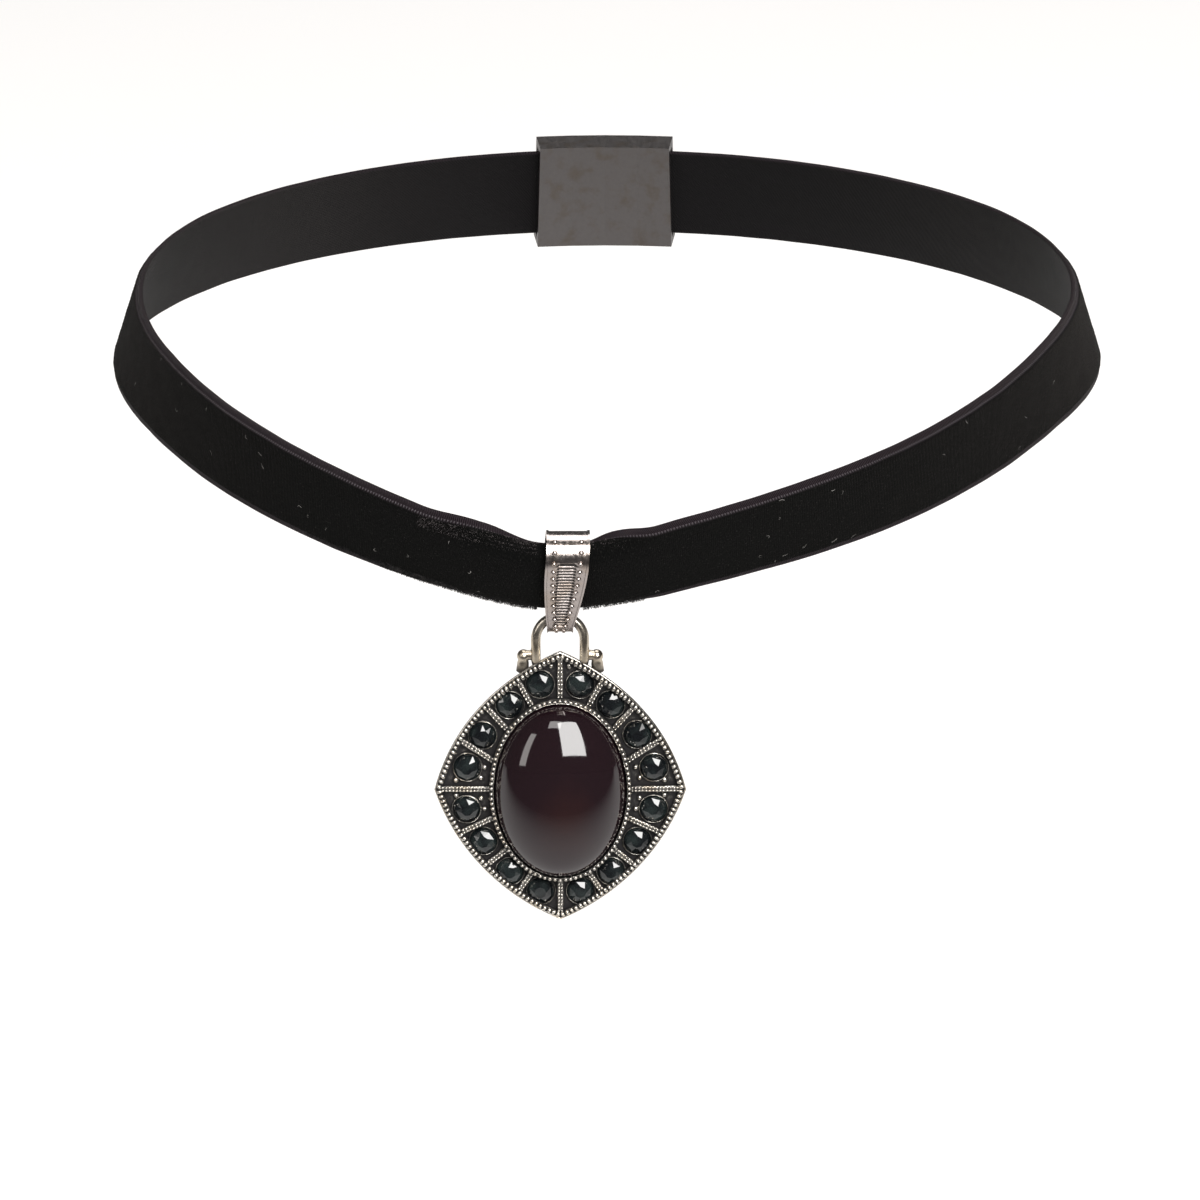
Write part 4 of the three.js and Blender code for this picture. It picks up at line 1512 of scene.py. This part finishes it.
def dress_ribbon():
    """The velvet ribbon with its loose pile, grey pile hairs that carry painted sheen along the
    rolled top edge, and lint.
    """
    cloth = RibbonCloth()
    ribbon, length = make_ribbon(cloth)
    black_hair = fibre_material("pile_hair", (0.004, 0.004, 0.004), (0.02, 0.018, 0.018))
    # Painted sheen: light grey hair colour standing in for the bright highlights on black pile
    # where the top edge rolls over.
    sheen_hair = fibre_material("raised_pile_painted_sheen", (0.02, 0.018, 0.018), (0.16, 0.14, 0.14))
    pale_hair = fibre_material("pale_lint", (0.12, 0.115, 0.11), (0.36, 0.35, 0.33))
    last = len(cloth.stations) - 1
    fringe = make_fringe(cloth, "pile_fringe", 31, [
        ((-21, -2.3), (4, 8), 6400, 0.3, 0.05, -0.9),
        ((2.3, 9), (4, 8), 2200, 0.26, 0.05, -0.9),
        ((-32, -21), (5, 7), 1400, 0.18, 0.045, -0.8),
    ])
    # Raised pile along the rolled top edge beside the bail, coloured grey as painted sheen.
    sheen_pile = make_fringe(cloth, "raised_pile_painted_sheen", 32, [
        ((-17, -3), (last - 11, last - 8), 1200, 0.34, 0.035, 0.3),
        ((3, 8), (last - 10, last - 8), 260, 0.26, 0.035, 0.3),
    ])
    lint = make_lint(cloth)
    for piece, material in (
        (ribbon, velvet_material()), (fringe, black_hair), (sheen_pile, sheen_hair), (lint, pale_hair),
    ):
        piece.data.materials.append(material)
        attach(piece, "band")
    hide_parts("ribbon")


def dress_all():
    patina = patina_group()
    silver = patina_metal(
        "antique_silver", patina, bright=(0.82, 0.785, 0.72), dark=(0.022, 0.0205, 0.021),
        polish=0.22, grain=2600.0, reach=0.8, relief=0.012,
    )
    worn_silver = patina_metal(
        "worn_silver", patina, bright=(0.7, 0.645, 0.555), dark=(0.05, 0.043, 0.036),
        polish=0.26, grain=1100.0, reach=1.1, relief=0.012,
    )
    nickel = patina_metal(
        "satin_nickel", patina, bright=(0.58, 0.52, 0.495), dark=(0.022, 0.018, 0.017),
        polish=0.2, grain=2200.0, reach=0.5, relief=0.01,
    )
    dark_nickel = patina_metal(
        "dark_nickel", patina, bright=(0.16, 0.15, 0.148), dark=(0.03, 0.026, 0.025),
        polish=0.4, grain=2600.0, reach=0.3, relief=0.01,
    )
    dress_pendant(silver, worn_silver, cabochon_material(), stone_material())
    dress_bail(nickel)
    dress_ribbon()
    clasp = frame["nodes"]["clasp"]
    clasp.data.materials.clear()
    clasp.data.materials.append(dark_nickel)


set_camera()
set_studio()
dress_all()
clear_selection()
